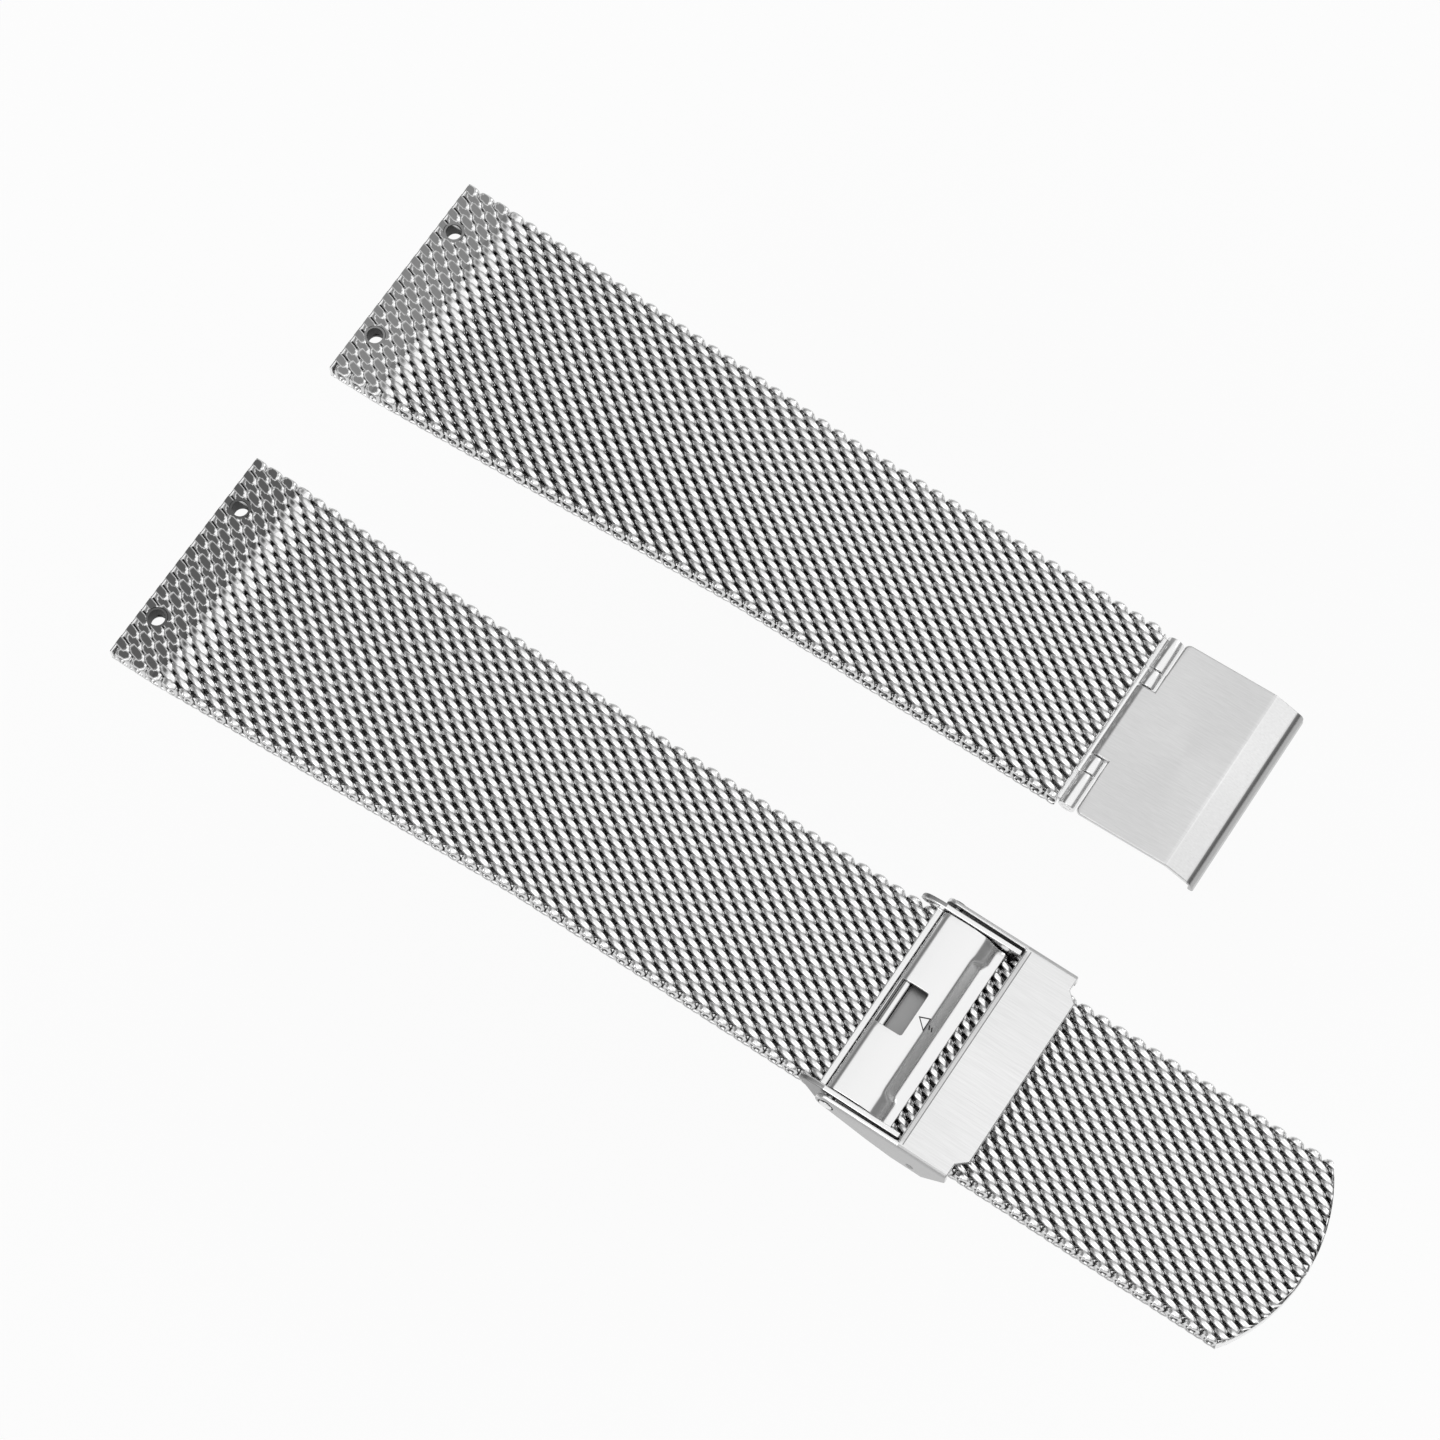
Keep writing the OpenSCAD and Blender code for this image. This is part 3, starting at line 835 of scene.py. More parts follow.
        # One on the flats, which get the painted dark grey, and zero along their rims, which get the
        # painted highlight.
        ground = smooth(np.concatenate(depths), *self.painted_rim_depths)
        lowest = self.half_height(local[:, 0]) - 1.5 * self.ground_step - 1e-4
        flat = np.abs(local[:, 2]) > lowest
        flat &= local[:, 0] < self.ground_len + self.ground_run_out
        if fine:
            local, inside = self.drill(local)
            faces = [f[~inside[f].all(1)] for f in faces]
        made = mesh_object(name, self.placed(local), faces)
        mesh = made.data
        if fine:
            self.close_cuts(mesh, len(local))
        added = np.zeros(len(mesh.vertices) - len(local))
        write_values(mesh, "relief", np.append(relief, added))
        write_values(mesh, "ground", np.append(ground, added))
        mesh.materials.append(self.wire)
        mesh.materials.append(self.ground)
        at_corner = np.append(flat, added > 0)[read(mesh.loops, "vertex_index", np.int32)]
        starts = read(mesh.polygons, "loop_start", np.int32)
        is_flat = np.minimum.reduceat(at_corner.astype(np.int32), starts)
        corners = np.diff(np.append(starts, len(mesh.loops)))
        mesh.polygons.foreach_set("material_index", is_flat)
        mesh.polygons.foreach_set("use_smooth", (is_flat == 0) & (corners == 4))
        mesh.update()
        return made

    def drill(self, points: np.ndarray) -> tuple[np.ndarray, np.ndarray]:
        """Move points inside a lug hole's wall along the radius, nearly to its outer face.

        Args:
            points: Points in the half's own frame.

        Returns:
            The points outside the walls, and whether each one was inside.
        """
        drill_r = self.hole_d / 2 + self.hole_wall - self.wall_overlap
        y = np.where(points[:, 1] < 0, -1, 1) * self.hole_spacing / 2
        axis = np.stack([np.full(len(points), self.hole_inset), y], -1)
        away = points[:, :2] - axis
        distance = np.hypot(away[:, 0], away[:, 1])
        inside = distance < drill_r
        moved = points.copy()
        scale = (drill_r / np.maximum(distance, 1e-6))[:, None]
        moved[inside, :2] = (axis + away * scale)[inside]
        return moved, inside

    def close_cuts(self, mesh: Any, count: int) -> None:
        """Close the coils where they are drilled, with cuts that follow the hole's wall.

        Args:
            mesh: Mesh of the piece.
            count: Points that it has. A cut adds one in its middle, which moves to the wall.
        """
        with edited(mesh) as work:
            open_edges = [e for e in work.edges if e.is_boundary]
            cuts = bmesh.ops.holes_fill(work, edges=open_edges, sides=0)
            bmesh.ops.poke(work, faces=cuts["faces"])

        def to_wall(places: np.ndarray) -> np.ndarray:
            """Move the points in the middle of the cuts."""
            places[count:] = self.placed(self.drill(places[count:] / MM - self.origin)[0])
            return places

        move_points(mesh, to_wall)

    def bar(self, name: str, line: np.ndarray, width: float, height: float, body: str) -> None:
        """Sweep a rounded bar, brazed over the cut wire ends, along a level line.

        The section is a squircle: a circle whose cosine and sine are raised to a power of
        one half. Each ring stands square to the line.

        Args:
            name: Name of the piece.
            line: Points along the line in the half's own frame, X and Y.
            width: Width of the bar.
            height: Height of the bar.
            body: CAD body that it rides on.
        """
        sides = 16
        angle = np.linspace(0, TURN, sides, endpoint=False)
        along = np.gradient(line, axis=0)
        along /= np.linalg.norm(along, axis=1, keepdims=True)
        normal = np.stack([along[:, 1], -along[:, 0]], -1)
        side = signed_power(np.cos(angle), 0.5) * width / 2
        up = signed_power(np.sin(angle), 0.5) * height / 2
        plan = line[:, None] + normal[:, None] * side[None, :, None]
        local = np.concatenate([plan, np.broadcast_to(up[None, :, None], (*plan.shape[:2], 1))], -1)
        faces = [f[:, ::-1] for f in tube(len(line), sides)]
        made = mesh_object(name, self.placed(local), faces)
        shade(made.data, 40)
        settle(made, body, [self.edge])

    def eyelets(self) -> None:
        """Line the two lug holes with the braze-filled wall that the drill leaves.

        Each wall is a ring of a rectangular section. Its ends are ground with the coils, and
        its bore is painted dark, as shade inside the hole.
        """
        steps = 40
        height = self.ground_t / 2 - self.ground_step / 2
        inner, outer = self.hole_d / 2, self.hole_d / 2 + self.hole_wall
        section = np.array([[inner, -height], [outer, -height], [outer, height], [inner, height]])
        turn = np.linspace(0, TURN, steps, endpoint=False)[:, None]
        k, j = np.arange(steps)[:, None], np.arange(4)[None]
        a, b = k * 4 + j, k * 4 + (j + 1) % 4
        ahead = ((k + 1) % steps - k) * 4
        quads = np.stack([a, a + ahead, b + ahead, b], -1).reshape(-1, 4)
        for number, y in enumerate((-self.hole_spacing / 2, self.hole_spacing / 2), 1):
            x_ring = self.hole_inset + np.cos(turn) * section[None, :, 0]
            y_ring = y + np.sin(turn) * section[None, :, 0]
            z_ring = np.broadcast_to(section[None, :, 1], x_ring.shape)
            local = np.stack([x_ring, y_ring, z_ring], -1)
            name = f"{self.half.value}_lug_hole_wall_{number}"
            made = mesh_object(name, self.placed(local), [quads])
            write_values(made.data, "ground", np.ones(steps * 4))
            shade(made.data, 40)
            # The bore gets the dark steel: painted shade.
            steels = [self.wire, self.ground, self.painted_bore_shade]
            settle(made, f"{self.half.value}_lug_end", steels, np.tile([1, 0, 1, 2], steps))

    def tip_line(self, inset: float) -> np.ndarray:
        """Give the line of the round tip, set in by half a bar.

        The line is the arc through the last corners, x = m + R cos t and y = R sin t.

        Args:
            inset: Distance from the outline.

        Returns:
            Points along the arc, X and Y.
        """
        reach = math.asin(self.band_w / 2 / self.tip_radius)
        t = np.linspace(-reach, reach, 48)
        run = self.tip_radius - inset
        line = np.stack([self.length - self.tip_radius + run * np.cos(t), run * np.sin(t)], -1)
        edge = self.band_w / 2 - self.end_margin
        line[:, 1] = np.clip(line[:, 1], -edge, edge)
        return line

    def end_line(self, x: float, width: float, inset: float) -> np.ndarray:
        """Give a straight line across the band, set in at both ends."""
        y = np.linspace(-width / 2 + inset, width / 2 - inset, 12)
        return np.stack([np.full(len(y), x), y], -1)

    def trim(self) -> None:
        """Finish both ends of the half: a ground bar at the lugs and one along the far end."""
        half = self.half.value
        lug, tip, hinge = self.lug_bar, self.tip_bar, self.hinge_bar
        height = self.mesh_t - self.far_bar_lower
        lug_end = self.end_line(lug.place, self.lug_w, lug.inset)
        lug_height = self.ground_t - self.lug_bar_lower
        self.bar(f"{half}_lug_edge", lug_end, lug.width, lug_height, f"{half}_lug_end")
        if self.half is Half.LONG:
            self.bar("long_tip_edge", self.tip_line(tip.place), tip.width, height, "long_tail")
        else:
            far_end = self.end_line(self.length - hinge.place, self.band_w, hinge.inset)
            self.bar("short_hinge_edge", far_end, hinge.width, height, "short_hinge_end")
        self.eyelets()

    def build(self) -> None:
        """Build the half, with one piece across each bending line and plain pieces past them."""
        half = self.half.value
        is_long = self.half is Half.LONG
        last, last_node = (
            ("long_tail", "long_mesh_tail") if is_long else ("short_hinge_end", "short_mesh_hinge_end")
        )
        stretches = ["lug_end"] + [f"link_{i}" for i in range(1, self.bends)]
        end = self.first_bend - self.bend_pitch / 2
        for i, stretch in enumerate(stretches):
            start, end = end, end + self.bend_pitch
            made = self.piece(f"{half}_weave_{i + 1}", start if i else 0, end, fine=i == 0)
            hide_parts(f"{half}_mesh_{stretch}")
            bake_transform(made)
        cuts = [end, self.tail_split, self.length + 1] if is_long else [end, self.length + 1]
        for i, (start, end) in enumerate(zip(cuts, cuts[1:]), self.bends + 1):
            made = self.piece(f"{half}_weave_{i}", start, end)
            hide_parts(last_node)
            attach(made, last)
        self.trim()


# The fittings


@dataclass(frozen=True)
class Edges:
    """How the edges of one sheet or bar are broken, as radii in millimetres."""

    rim: float = 0.08
    corner: float = 0.0


@dataclass
class Fittings:
    """The sheet and bar pieces, with the shapes of their CAD solids and softly broken edges.

    Places on the clasp are measured from the clasp pin's axis.
    """

    finishes: Finishes
    rim_angle: float = 62.0
    sharp_angle: float = 50.0
    corner_height: float = 0.62
    bore_clear: float = 1.5
    tongue_from: float = -0.8
    tongue_to: float = -2.4
    tongue_curve: float = 0.09
    wall_half_w: float = 9.45
    wall_gap: float = 0.15
    wall_lean: float = 0.2
    lean_z: tuple[float, float] = (-0.75, -0.35)
    arm_half_w: float = 10.5
    window: tuple[float, float, float] = (-0.6, 2.1, 2.2)
    roll_r: float = 0.81
    flap_t: float = 0.32
    flap_to: float = 5.55
    flap_half_w: float = 9.15
    lip_from: tuple[float, float] = (4.5, 4.95)
    lip_z: float = -0.5
    lip_change: tuple[float, float] = (6.5, 7.4)
    flap_top: tuple[tuple[float, float], ...] = ((0.8, 0.885), (1.55, 0.92), (2.4, 0.89), (3.4, 0.72))
    rounded_from: tuple[float, float] = (2.3, 2.9)
    rounded_over: float = 0.5
    line_steps: int = 600
    row_counts: tuple[int, ...] = (18, 14, 30)
    column_edges: tuple[float, float] = (6.3, 7.6)
    column_counts: tuple[int, ...] = (4, 12, 8, 8, 8, 12, 4)
    triangle: tuple[tuple[float, float], ...] = ((2.45, 0.08), (3.43, 0.53), (3.45, -0.81))
    tick: tuple[tuple[float, float], ...] = ((3.6, 0.02), (3.75, -0.3))
    tick_step: float = 0.25
    inner_layer: float = 3.0
    notch_half_w: float = 5.5
    slot_from: tuple[float, float, float] = (0.95, 1.2, 2.2)
    slot_to: tuple[float, float, float] = (0.93, 0.955, 2.2)
    crease_x: float = 10.05
    lip_bend: tuple[float, float, float] = (11.54, -0.735, 1.5)
    lip_sweep: float = 74.0
    lip_cuts: tuple[float, ...] = (0.38, 0.5, 0.62, 0.74)
    bent_from: float = 0.45
    bridge_from: float = 6.85
    bridge_bevel: float = 0.5
    bridge_bevel_drop: float = 0.1
    bevel_cuts: tuple[float, ...] = (0.3, 0.6, 0.9, 1.1)
    groove_w: float = 0.11
    groove_inside: float = 0.74
    pin_head_r: float = 0.62
    dimple_r: float = 0.34
    dimple_place: tuple[float, float] = (8.5, -2.41)
    head_shares: tuple[float, ...] = (1.0, 1.0, 0.97, 0.9, 0.75, 0.5, 0.2)
    head_heights: tuple[float, ...] = (-0.05, 0.04, 0.06, 0.08, 0.1, 0.12, 0.13)
    seat_shares: tuple[float, ...] = (1.28, 1.26, 0.9, 0.3)
    seat_heights: tuple[float, ...] = (-0.05, 0.012, 0.012, 0.012)
    dimple_shares: tuple[float, ...] = (1.15, 1.1, 1.0, 0.9, 0.7, 0.4, 0.1)
    dimple_heights: tuple[float, ...] = (-0.05, 0.01, 0.03, 0.02, 0.008, 0.004, 0.004)

    def __post_init__(self) -> None:
        """Find the clasp pin's axis from its CAD solid."""
        low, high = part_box("clasp_pin")
        self.pin = np.array((low + high) / 2 / MM)

    def plane(self, axis: int, at: float) -> tuple[Vector, Vector]:
        """Give a plane square to an axis, at a distance from the clasp pin."""
        normal = Vector([float(axis == i) for i in range(3)])
        return (Vector(self.pin) + normal * at) * MM, normal

    def upright(self, edge: Any) -> bool:
        """Tell whether an edge is a short upright corner of a sheet, clear of the pin's bore."""
        along = edge.verts[1].co - edge.verts[0].co
        long = along.length
        clear = edge.verts[0].co.x / MM - self.pin[0] > self.bore_clear
        return clear and 0.2 * MM < long < self.corner_height * MM and abs(along.z) > 0.95 * long

    def rounded_copy(self, node: str, name: str, edges: Edges) -> Object:
        """Copy a CAD solid, merge its loose triangles and round its edges.

        Args:
            node: Name of the CAD node.
            name: Name of the new piece.
            edges: How far its edges are rounded.

        Returns:
            The new piece, in the node's place.
        """
        work = bmesh.new()
        work.from_mesh(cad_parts[node].data)
        bmesh.ops.remove_doubles(work, verts=work.verts, dist=0.005 * MM)
        bmesh.ops.dissolve_limit(work, angle_limit=math.radians(1), verts=work.verts, edges=work.edges)
        return self.rounded(work, node, name, edges)

    def rounded(self, work: Any, node: str, name: str, edges: Edges) -> Object:
        """Round the edges of a closed mesh and make it a piece.

        Corners in plan go first, then the rims. A rounded corner that would stand out of the
        solid's box is brought back onto it, and hair-thin folds beside a bevel are closed.

        Args:
            work: The mesh, which is used up.
            node: Name of the CAD node that it stands for.
            name: Name of the new piece.
            edges: How far its edges are rounded.

        Returns:
            The new piece.
        """
        rim = math.radians(self.rim_angle)
        for radius, steps, test in ((edges.corner, 4, self.upright), (edges.rim, 3, None)):
            if not radius:
                continue
            pairs = [e for e in work.edges if len(e.link_faces) == 2 and e.calc_face_angle() > rim]
            bmesh.ops.bevel(
                work, geom=[e for e in pairs if test is None or test(e)], offset=radius * MM,
                offset_type="OFFSET", segments=steps, profile=0.5, affect="EDGES", clamp_overlap=False,
            )
        bmesh.ops.dissolve_degenerate(work, dist=0.02 * MM, edges=work.edges)
        bmesh.ops.triangulate(work, faces=[f for f in work.faces if len(f.verts) > 4])
        mesh = bpy.data.meshes.new(name)
        work.to_mesh(mesh)
        work.free()
        low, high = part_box(node)
        move_points(mesh, lambda places: np.clip(places, np.array(low), np.array(high)))
        made = link_object(name, mesh)
        shade(mesh, self.sharp_angle)
        weighted = made.modifiers.new("even_shading", "WEIGHTED_NORMAL")
        weighted.weight = 100
        weighted.keep_sharp = True
        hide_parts(node)
        LOG.info("%s: %d faces", name, len(mesh.polygons))
        return made

    def face_places(self, piece: Object) -> tuple[np.ndarray, np.ndarray]:
        """Give each face's centre in the clasp pin's frame, in millimetres, and its normal."""
        centre, normal = (read(piece.data.polygons, n, np.float32, 3) for n in ("center", "normal"))
        return centre / MM - self.pin, normal

    def flap_line(self, lip_from: float) -> np.ndarray:
        """Draw the flap's outer face from its inner layer, round the roll and out to the lip.

        The corners are joined by straight lines, which a running mean over half a
        millimetre then rounds. The roll keeps its radius.

        Args:
            lip_from: X at which the fall meets the lip.

        Returns:
            Rows of X and Z, an even distance apart.
        """
        turn = np.radians(np.linspace(270, 90, 25))
        roll = np.stack([np.cos(turn), np.sin(turn)], -1) * self.roll_r
        run = [*self.flap_top, (lip_from, self.lip_z), (self.flap_to, self.lip_z)]
        line = np.concatenate([[(self.inner_layer, -self.roll_r)], roll, run])
        gone = np.concatenate([[0], np.cumsum(np.hypot(*np.diff(line, axis=0).T))])
        along = np.linspace(0, gone[-1], self.line_steps + 1)
        even = np.stack([np.interp(along, gone, line[:, axis]) for axis in (0, 1)], -1)
        half = round(self.rounded_over / 2 / (gone[-1] / self.line_steps))
        longer = np.concatenate([np.repeat(even[:1], half, 0), even, np.repeat(even[-1:], half, 0)])
        total = np.cumsum(np.concatenate([np.zeros((1, 2)), longer]), axis=0)
        mean = (total[2 * half + 1 :] - total[: -2 * half - 1]) / (2 * half + 1)
        rounding = smooth(even[:, 0], *self.rounded_from) * smooth(self.flap_to - even[:, 0], 0.0, 0.3)
        rounding = np.where(even[:, 1] > -0.7, rounding, 0)[:, None]
        return even + (mean - even) * rounding

    def flap_grid(self) -> tuple[np.ndarray, np.ndarray]:
        """Lay out the flap's sheet with its window.

        Its outer face is a grid of the flap's line and Y. Towards both ends the lip starts
        further out. The inner face lies the sheet's thickness inside along the normals, and
        the grid's lines run along the window's edges, where the quads inside are left out.

        Returns:
            Points from the clasp pin's axis, and quads of the closed sheet.
        """
        back, front, half_w = self.window
        middle, end = (self.flap_line(lip_from) for lip_from in self.lip_from)
        upper = np.arange(len(middle)) > len(middle) * 0.36
        back_row, front_row = (int(np.argmax(upper & (middle[:, 0] > x))) for x in (back, front))
        stops = (0, back_row, front_row, self.line_steps)
        parts = zip(stops[:-1], stops[1:], self.row_counts)
        rows = np.unique(np.concatenate([np.linspace(a, b, n).astype(int) for a, b, n in parts]))
        edges = (half_w, *self.column_edges, self.flap_half_w)
        limits = (*(-y for y in edges[::-1]), *edges)
        spans = zip(limits[:-1], limits[1:], self.column_counts)
        columns = np.unique(np.concatenate([np.linspace(a, b, n) for a, b, n in spans]))
        share = smooth(np.abs(columns), *self.lip_change)[None, :, None]
        line = middle[rows][:, None] * (1 - share) + end[rows][:, None] * share
        outer = np.stack([line[..., 0], np.broadcast_to(columns, line.shape[:2]), line[..., 1]], -1)
        way = np.gradient(line, axis=0)
        way /= np.linalg.norm(way, axis=-1, keepdims=True)
        inward = np.stack([way[..., 1], np.zeros(line.shape[:2]), -way[..., 0]], -1)
        inner = outer + inward * self.flap_t
        tall, wide = line.shape[:2]
        i, j = np.meshgrid(np.arange(tall - 1), np.arange(wide - 1), indexing="ij")
        a, b = i * wide + j, (i + 1) * wide + j
        quads = np.stack([a, b, b + 1, a + 1], -1)
        in_rows = (rows[:-1] >= back_row) & (rows[:-1] < front_row)
        in_columns = (columns[:-1] > -half_w - 0.01) & (columns[:-1] < half_w - 0.01)
        faces = shell_faces(quads[~(in_rows[:, None] & in_columns[None])], tall * wide)
        used, faces = np.unique(faces, return_inverse=True)
        local = np.concatenate([outer.reshape(-1, 3), inner.reshape(-1, 3)])
        return local[used], faces.reshape(-1, 4)

    def flap(self) -> None:
        """Build the locking flap: one thin sheet rolled round the pin, with its window and mark."""
        local, faces = self.flap_grid()
        mesh = bpy.data.meshes.new("locking_flap_grid")
        mesh.from_pydata((local + self.pin) * MM, [], faces)
        work = bmesh.new()
        work.from_mesh(mesh)
        bpy.data.meshes.remove(mesh)
        bmesh.ops.recalc_face_normals(work, faces=work.faces)
        piece = self.rounded(work, "locking_flap", "locking_flap_sheet", Edges(0.07, 0.22))
        place, normal = self.face_places(piece)
        radius = np.hypot(place[:, 0], place[:, 2])
        # Inside the roll, under the sheet and on the window's floor the flap gets the duller steel
        # painted darker: painted shade.
        inside_roll = (place[:, 0] < 1.0) & (radius < self.roll_r - 0.12)
        under = (place[:, 0] >= 1.0) & (normal[:, 2] < -0.3)
        floor = (place[:, 2] < -0.3) & (place[:, 0] < self.inner_layer + 0.1)
        steels = [self.finishes.polished, self.finishes.inner]
        settle(piece, "flap", steels, inside_roll | under | floor)
        self.mark("opening_mark_triangle", self.triangle, True)
        for number in (1, 2):
            tick = [(x + (number - 1) * self.tick_step, y) for x, y in self.tick]
            self.mark(f"opening_mark_tick_{number}", tick, False)

    def mark(self, name: str, corners: Sequence[tuple[float, float]], closed: bool) -> None:
        """Engrave a line into the flap: a dark ribbon that follows its top.

        Points go along the line, at the height that the flap's profile has at their X. The
        ribbon's two edges lie half a groove's width to either side, or for a closed line on
        the line and inside it.

        Args:
            name: Name of the new piece.
            corners: Corners of the line, X and Y from the pin's axis.
            closed: True for a line that ends where it starts.
        """
        ends = list(corners) + ([corners[0]] if closed else [])
        legs = [np.linspace(a, b, 9)[:-1] for a, b in zip(ends[:-1], ends[1:])]
        line = np.concatenate(legs + ([] if closed else [np.array(ends[-1:])]))
        if closed:
            middle = line.mean(0)
            inner, outer = middle + (line - middle) * self.groove_inside, line
        else:
            way = line[-1] - line[0]
            side = np.array([-way[1], way[0]]) / np.linalg.norm(way) * self.groove_w / 2
            inner, outer = line - side, line + side
        count = len(line)
        plan = np.concatenate([inner, outer])
        profile = self.flap_line(self.lip_from[0])
        upper = profile[int(0.4 * len(profile)) :]
        top = np.column_stack([plan, np.interp(plan[:, 0], upper[:, 0], upper[:, 1]) + 0.012])
        local = np.concatenate([top, top - np.array([0, 0, 0.06])]) + self.pin
        k = np.arange(count if closed else count - 1)
        n = (k + 1) % count
        faces = shell_faces(np.stack([k, n, n + count, k + count], -1), 2 * count)
        made = mesh_object(name, local * MM, [faces])
        turn_outward(made.data)
        settle(made, "flap", [self.finishes.engraving_and_shade])

    def turned(
        self, name: str, side: int, place: tuple[float, float], radii: np.ndarray,
        heights: Sequence[float], body: str, steel: Material,
    ) -> None:
        """Turn a profile round an axis along Y, on one cheek of the cover.

        A point at radius r, height h and angle t lies at (r cos t, side * h, r sin t).

        Args:
            name: Name of the new piece.
            side: Minus one for the cheek at -Y, one for the other.
            place: X and Z of the axis, from the clasp pin's.
            radii: Radii of the profile, from the rim to the middle.
            heights: Its heights over the cheek.
            body: CAD body that the piece rides on.
            steel: Its finish.
        """
        sides = 32
        t = np.linspace(0, TURN, sides, endpoint=False)[None]
        x = place[0] + radii[:, None] * np.cos(t)
        z = place[1] + radii[:, None] * np.sin(t)
        y = np.broadcast_to(side * (self.arm_half_w + np.array(heights))[:, None], x.shape)
        local = np.stack([x, y, z], -1).reshape(-1, 3)
        made = mesh_object(name, (local + self.pin) * MM, tube(len(radii), sides))
        turn_outward(made.data)
        shade(made.data, 60)
        settle(made, body, [steel])

    def cheeks(self) -> None:
        """Finish the clasp's cheeks.

        Each end of the clasp pin is upset into a low domed head in a countersunk seat, which
        is a thin dark disc of painted shade round the head, and a snap dimple is a fine rim
        round a shallow dish, painted darker as shade.
        """
        steels = self.finishes
        head = self.pin_head_r * np.array(self.head_shares)
        seat = self.pin_head_r * np.array(self.seat_shares)
        dish = self.dimple_r * np.array(self.dimple_shares)
        groups = (
            (("clasp_pin_head", (0, 0), head, self.head_heights, "clasp", steels.polished),
             ("clasp_pin_seat", (0, 0), seat, self.seat_heights, "cover", steels.engraving_and_shade)),
            (("snap_dimple", self.dimple_place, dish, self.dimple_heights, "cover", steels.inner),),
        )
        for group in groups:
            for side, label in SIDES:
                for name, *shape in group:
                    self.turned(f"{name}_{label}", side, *shape)

    def channel(self) -> None:
        """Build the base channel: its walls run out in tongues that curve down past the pin.

        A point of a tongue drops by the square of its distance from where the curve starts.
        The walls' outer faces stand a little further in, which leaves a dark gap beside the
        cover's arms, and above the mesh their inner faces lean in to the flap.
        """
        piece = self.rounded_copy("clasp_base", "clasp_base_channel", Edges(0.13))
        cuts = [self.plane(0, x) for x in np.linspace(self.tongue_from, self.tongue_to, 6)]
        cut_across(piece.data, cuts + [self.plane(2, z) for z in self.lean_z])

        def droop(places: np.ndarray) -> np.ndarray:
            """Bend the tongues down past the pin and set the walls in."""
            x, y, z = (places / MM - self.pin).T
            past = np.clip(self.tongue_from - x, 0, None)
            beside = np.abs(y) > self.wall_half_w - 0.5
            drop = self.tongue_curve * past**2 * smooth(z, -0.6, 0.6)
            inner = np.abs(y) < self.wall_half_w + 0.2
            lean = np.where(inner, self.wall_lean * smooth(z, *self.lean_z), self.wall_gap)
            places[:, 2] -= np.where(beside, drop, 0) * MM
            places[:, 1] -= np.where(beside, np.sign(y) * lean, 0) * MM
            return places

        move_points(piece.data, droop)
        place, normal = self.face_places(piece)
        # The walls' upright faces and the drooping tongues get the duller steel painted darker: painted
        # shade.
        on_wall = np.abs(place[:, 1]) > self.wall_half_w - 0.05
        dull_and_shaded = on_wall & ((np.abs(normal[:, 1]) > 0.9) | (place[:, 0] < self.tongue_from - 0.1))
        settle(piece, "clasp", [self.finishes.polished, self.finishes.inner], dull_and_shaded)

    def hook(self) -> None:
        """Build the hook plate: satin, finer and painted lighter on its bent end, and painted
        darker over the lip's bend, as shade.

        Beside the outer knuckles its edge reaches further in, so only a fine dark slot is
        left. The shift fades out evenly within a millimetre. The lip's bend is an arc that
        runs into the slope and into the lip.
        """
        piece = self.rounded_copy("hook_plate", "hook_plate_sheet", Edges(0.15))
        low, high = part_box("hinge_pin")
        axis = np.array((low + high) / 2 / MM)
        bend_x, bend_z, bend_r = self.lip_bend
        lines = [axis[0] - self.pin[0] + bend_x + share * bend_r for share in self.lip_cuts]
        cut_across(piece.data, [self.plane(0, x) for x in lines])

        def narrow_slot(places: np.ndarray) -> np.ndarray:
            """Bring the plate's edge closer to the outer knuckles and round the lip's bend."""
            x, y, z = (places / MM - axis).T
            beside = (np.abs(y) > self.notch_half_w) & (x > self.slot_from[0]) & (x < self.slot_from[-1])
            places[:, 0] -= np.where(beside, x - np.interp(x, self.slot_from, self.slot_to), 0) * MM
            round_x, round_z = round_over(x, z, (bend_x, bend_z), bend_r, math.radians(self.lip_sweep))
            places[:, 0] += (round_x - x) * MM
            places[:, 2] += (round_z - z) * MM
            return places

        move_points(piece.data, narrow_slot)
        local = self.face_places(piece)[0] + self.pin - axis
        # The bent end gets the satin painted lighter, and past the start of the lip's bend the darker
        # copy: painted shade.
        bent = (local[:, 0] > self.crease_x) & (local[:, 2] > -1.2)
        choice = np.where(bent, np.where(local[:, 0] > bend_x + self.bent_from * bend_r, 2, 1), 0)
        steels = [self.finishes.satin, self.finishes.satin_painted_lighter, self.finishes.bent]
        settle(piece, "hook", steels, choice)

    def cover(self) -> None:
        """Build the cover: a satin sheet bent down along both sides, dull and painted darker inside.

        Beside the flap the bridge's top falls evenly over half a millimetre, as a bevel with
        a thin dark line of painted shade along its top edge.
        """
        piece = self.rounded_copy("clasp_cover", "clasp_cover_sheet", Edges(0.13, 0.3))
        inside_arms = self.arm_half_w - 0.6
        bevel_end = self.bridge_from + self.bridge_bevel
        cuts = [self.plane(0, self.bridge_from + s * self.bridge_bevel) for s in self.bevel_cuts]
        cut_across(piece.data, cuts + [self.plane(1, side * inside_arms) for side, _ in SIDES])

        def lower_bevel(places: np.ndarray) -> np.ndarray:
            """Lower the bridge's top beside the flap, most at its edge."""
            x, y, z = (places / MM - self.pin).T
            near = np.clip(1 - (x - self.bridge_from) / self.bridge_bevel, 0, 1)
            on_bridge = (np.abs(y) < inside_arms - 0.01) & (z > 0.9) & (x > self.bridge_from - 0.1)
            places[:, 2] -= np.where(on_bridge, self.bridge_bevel_drop * near, 0) * MM
            return places

        move_points(piece.data, lower_bevel)
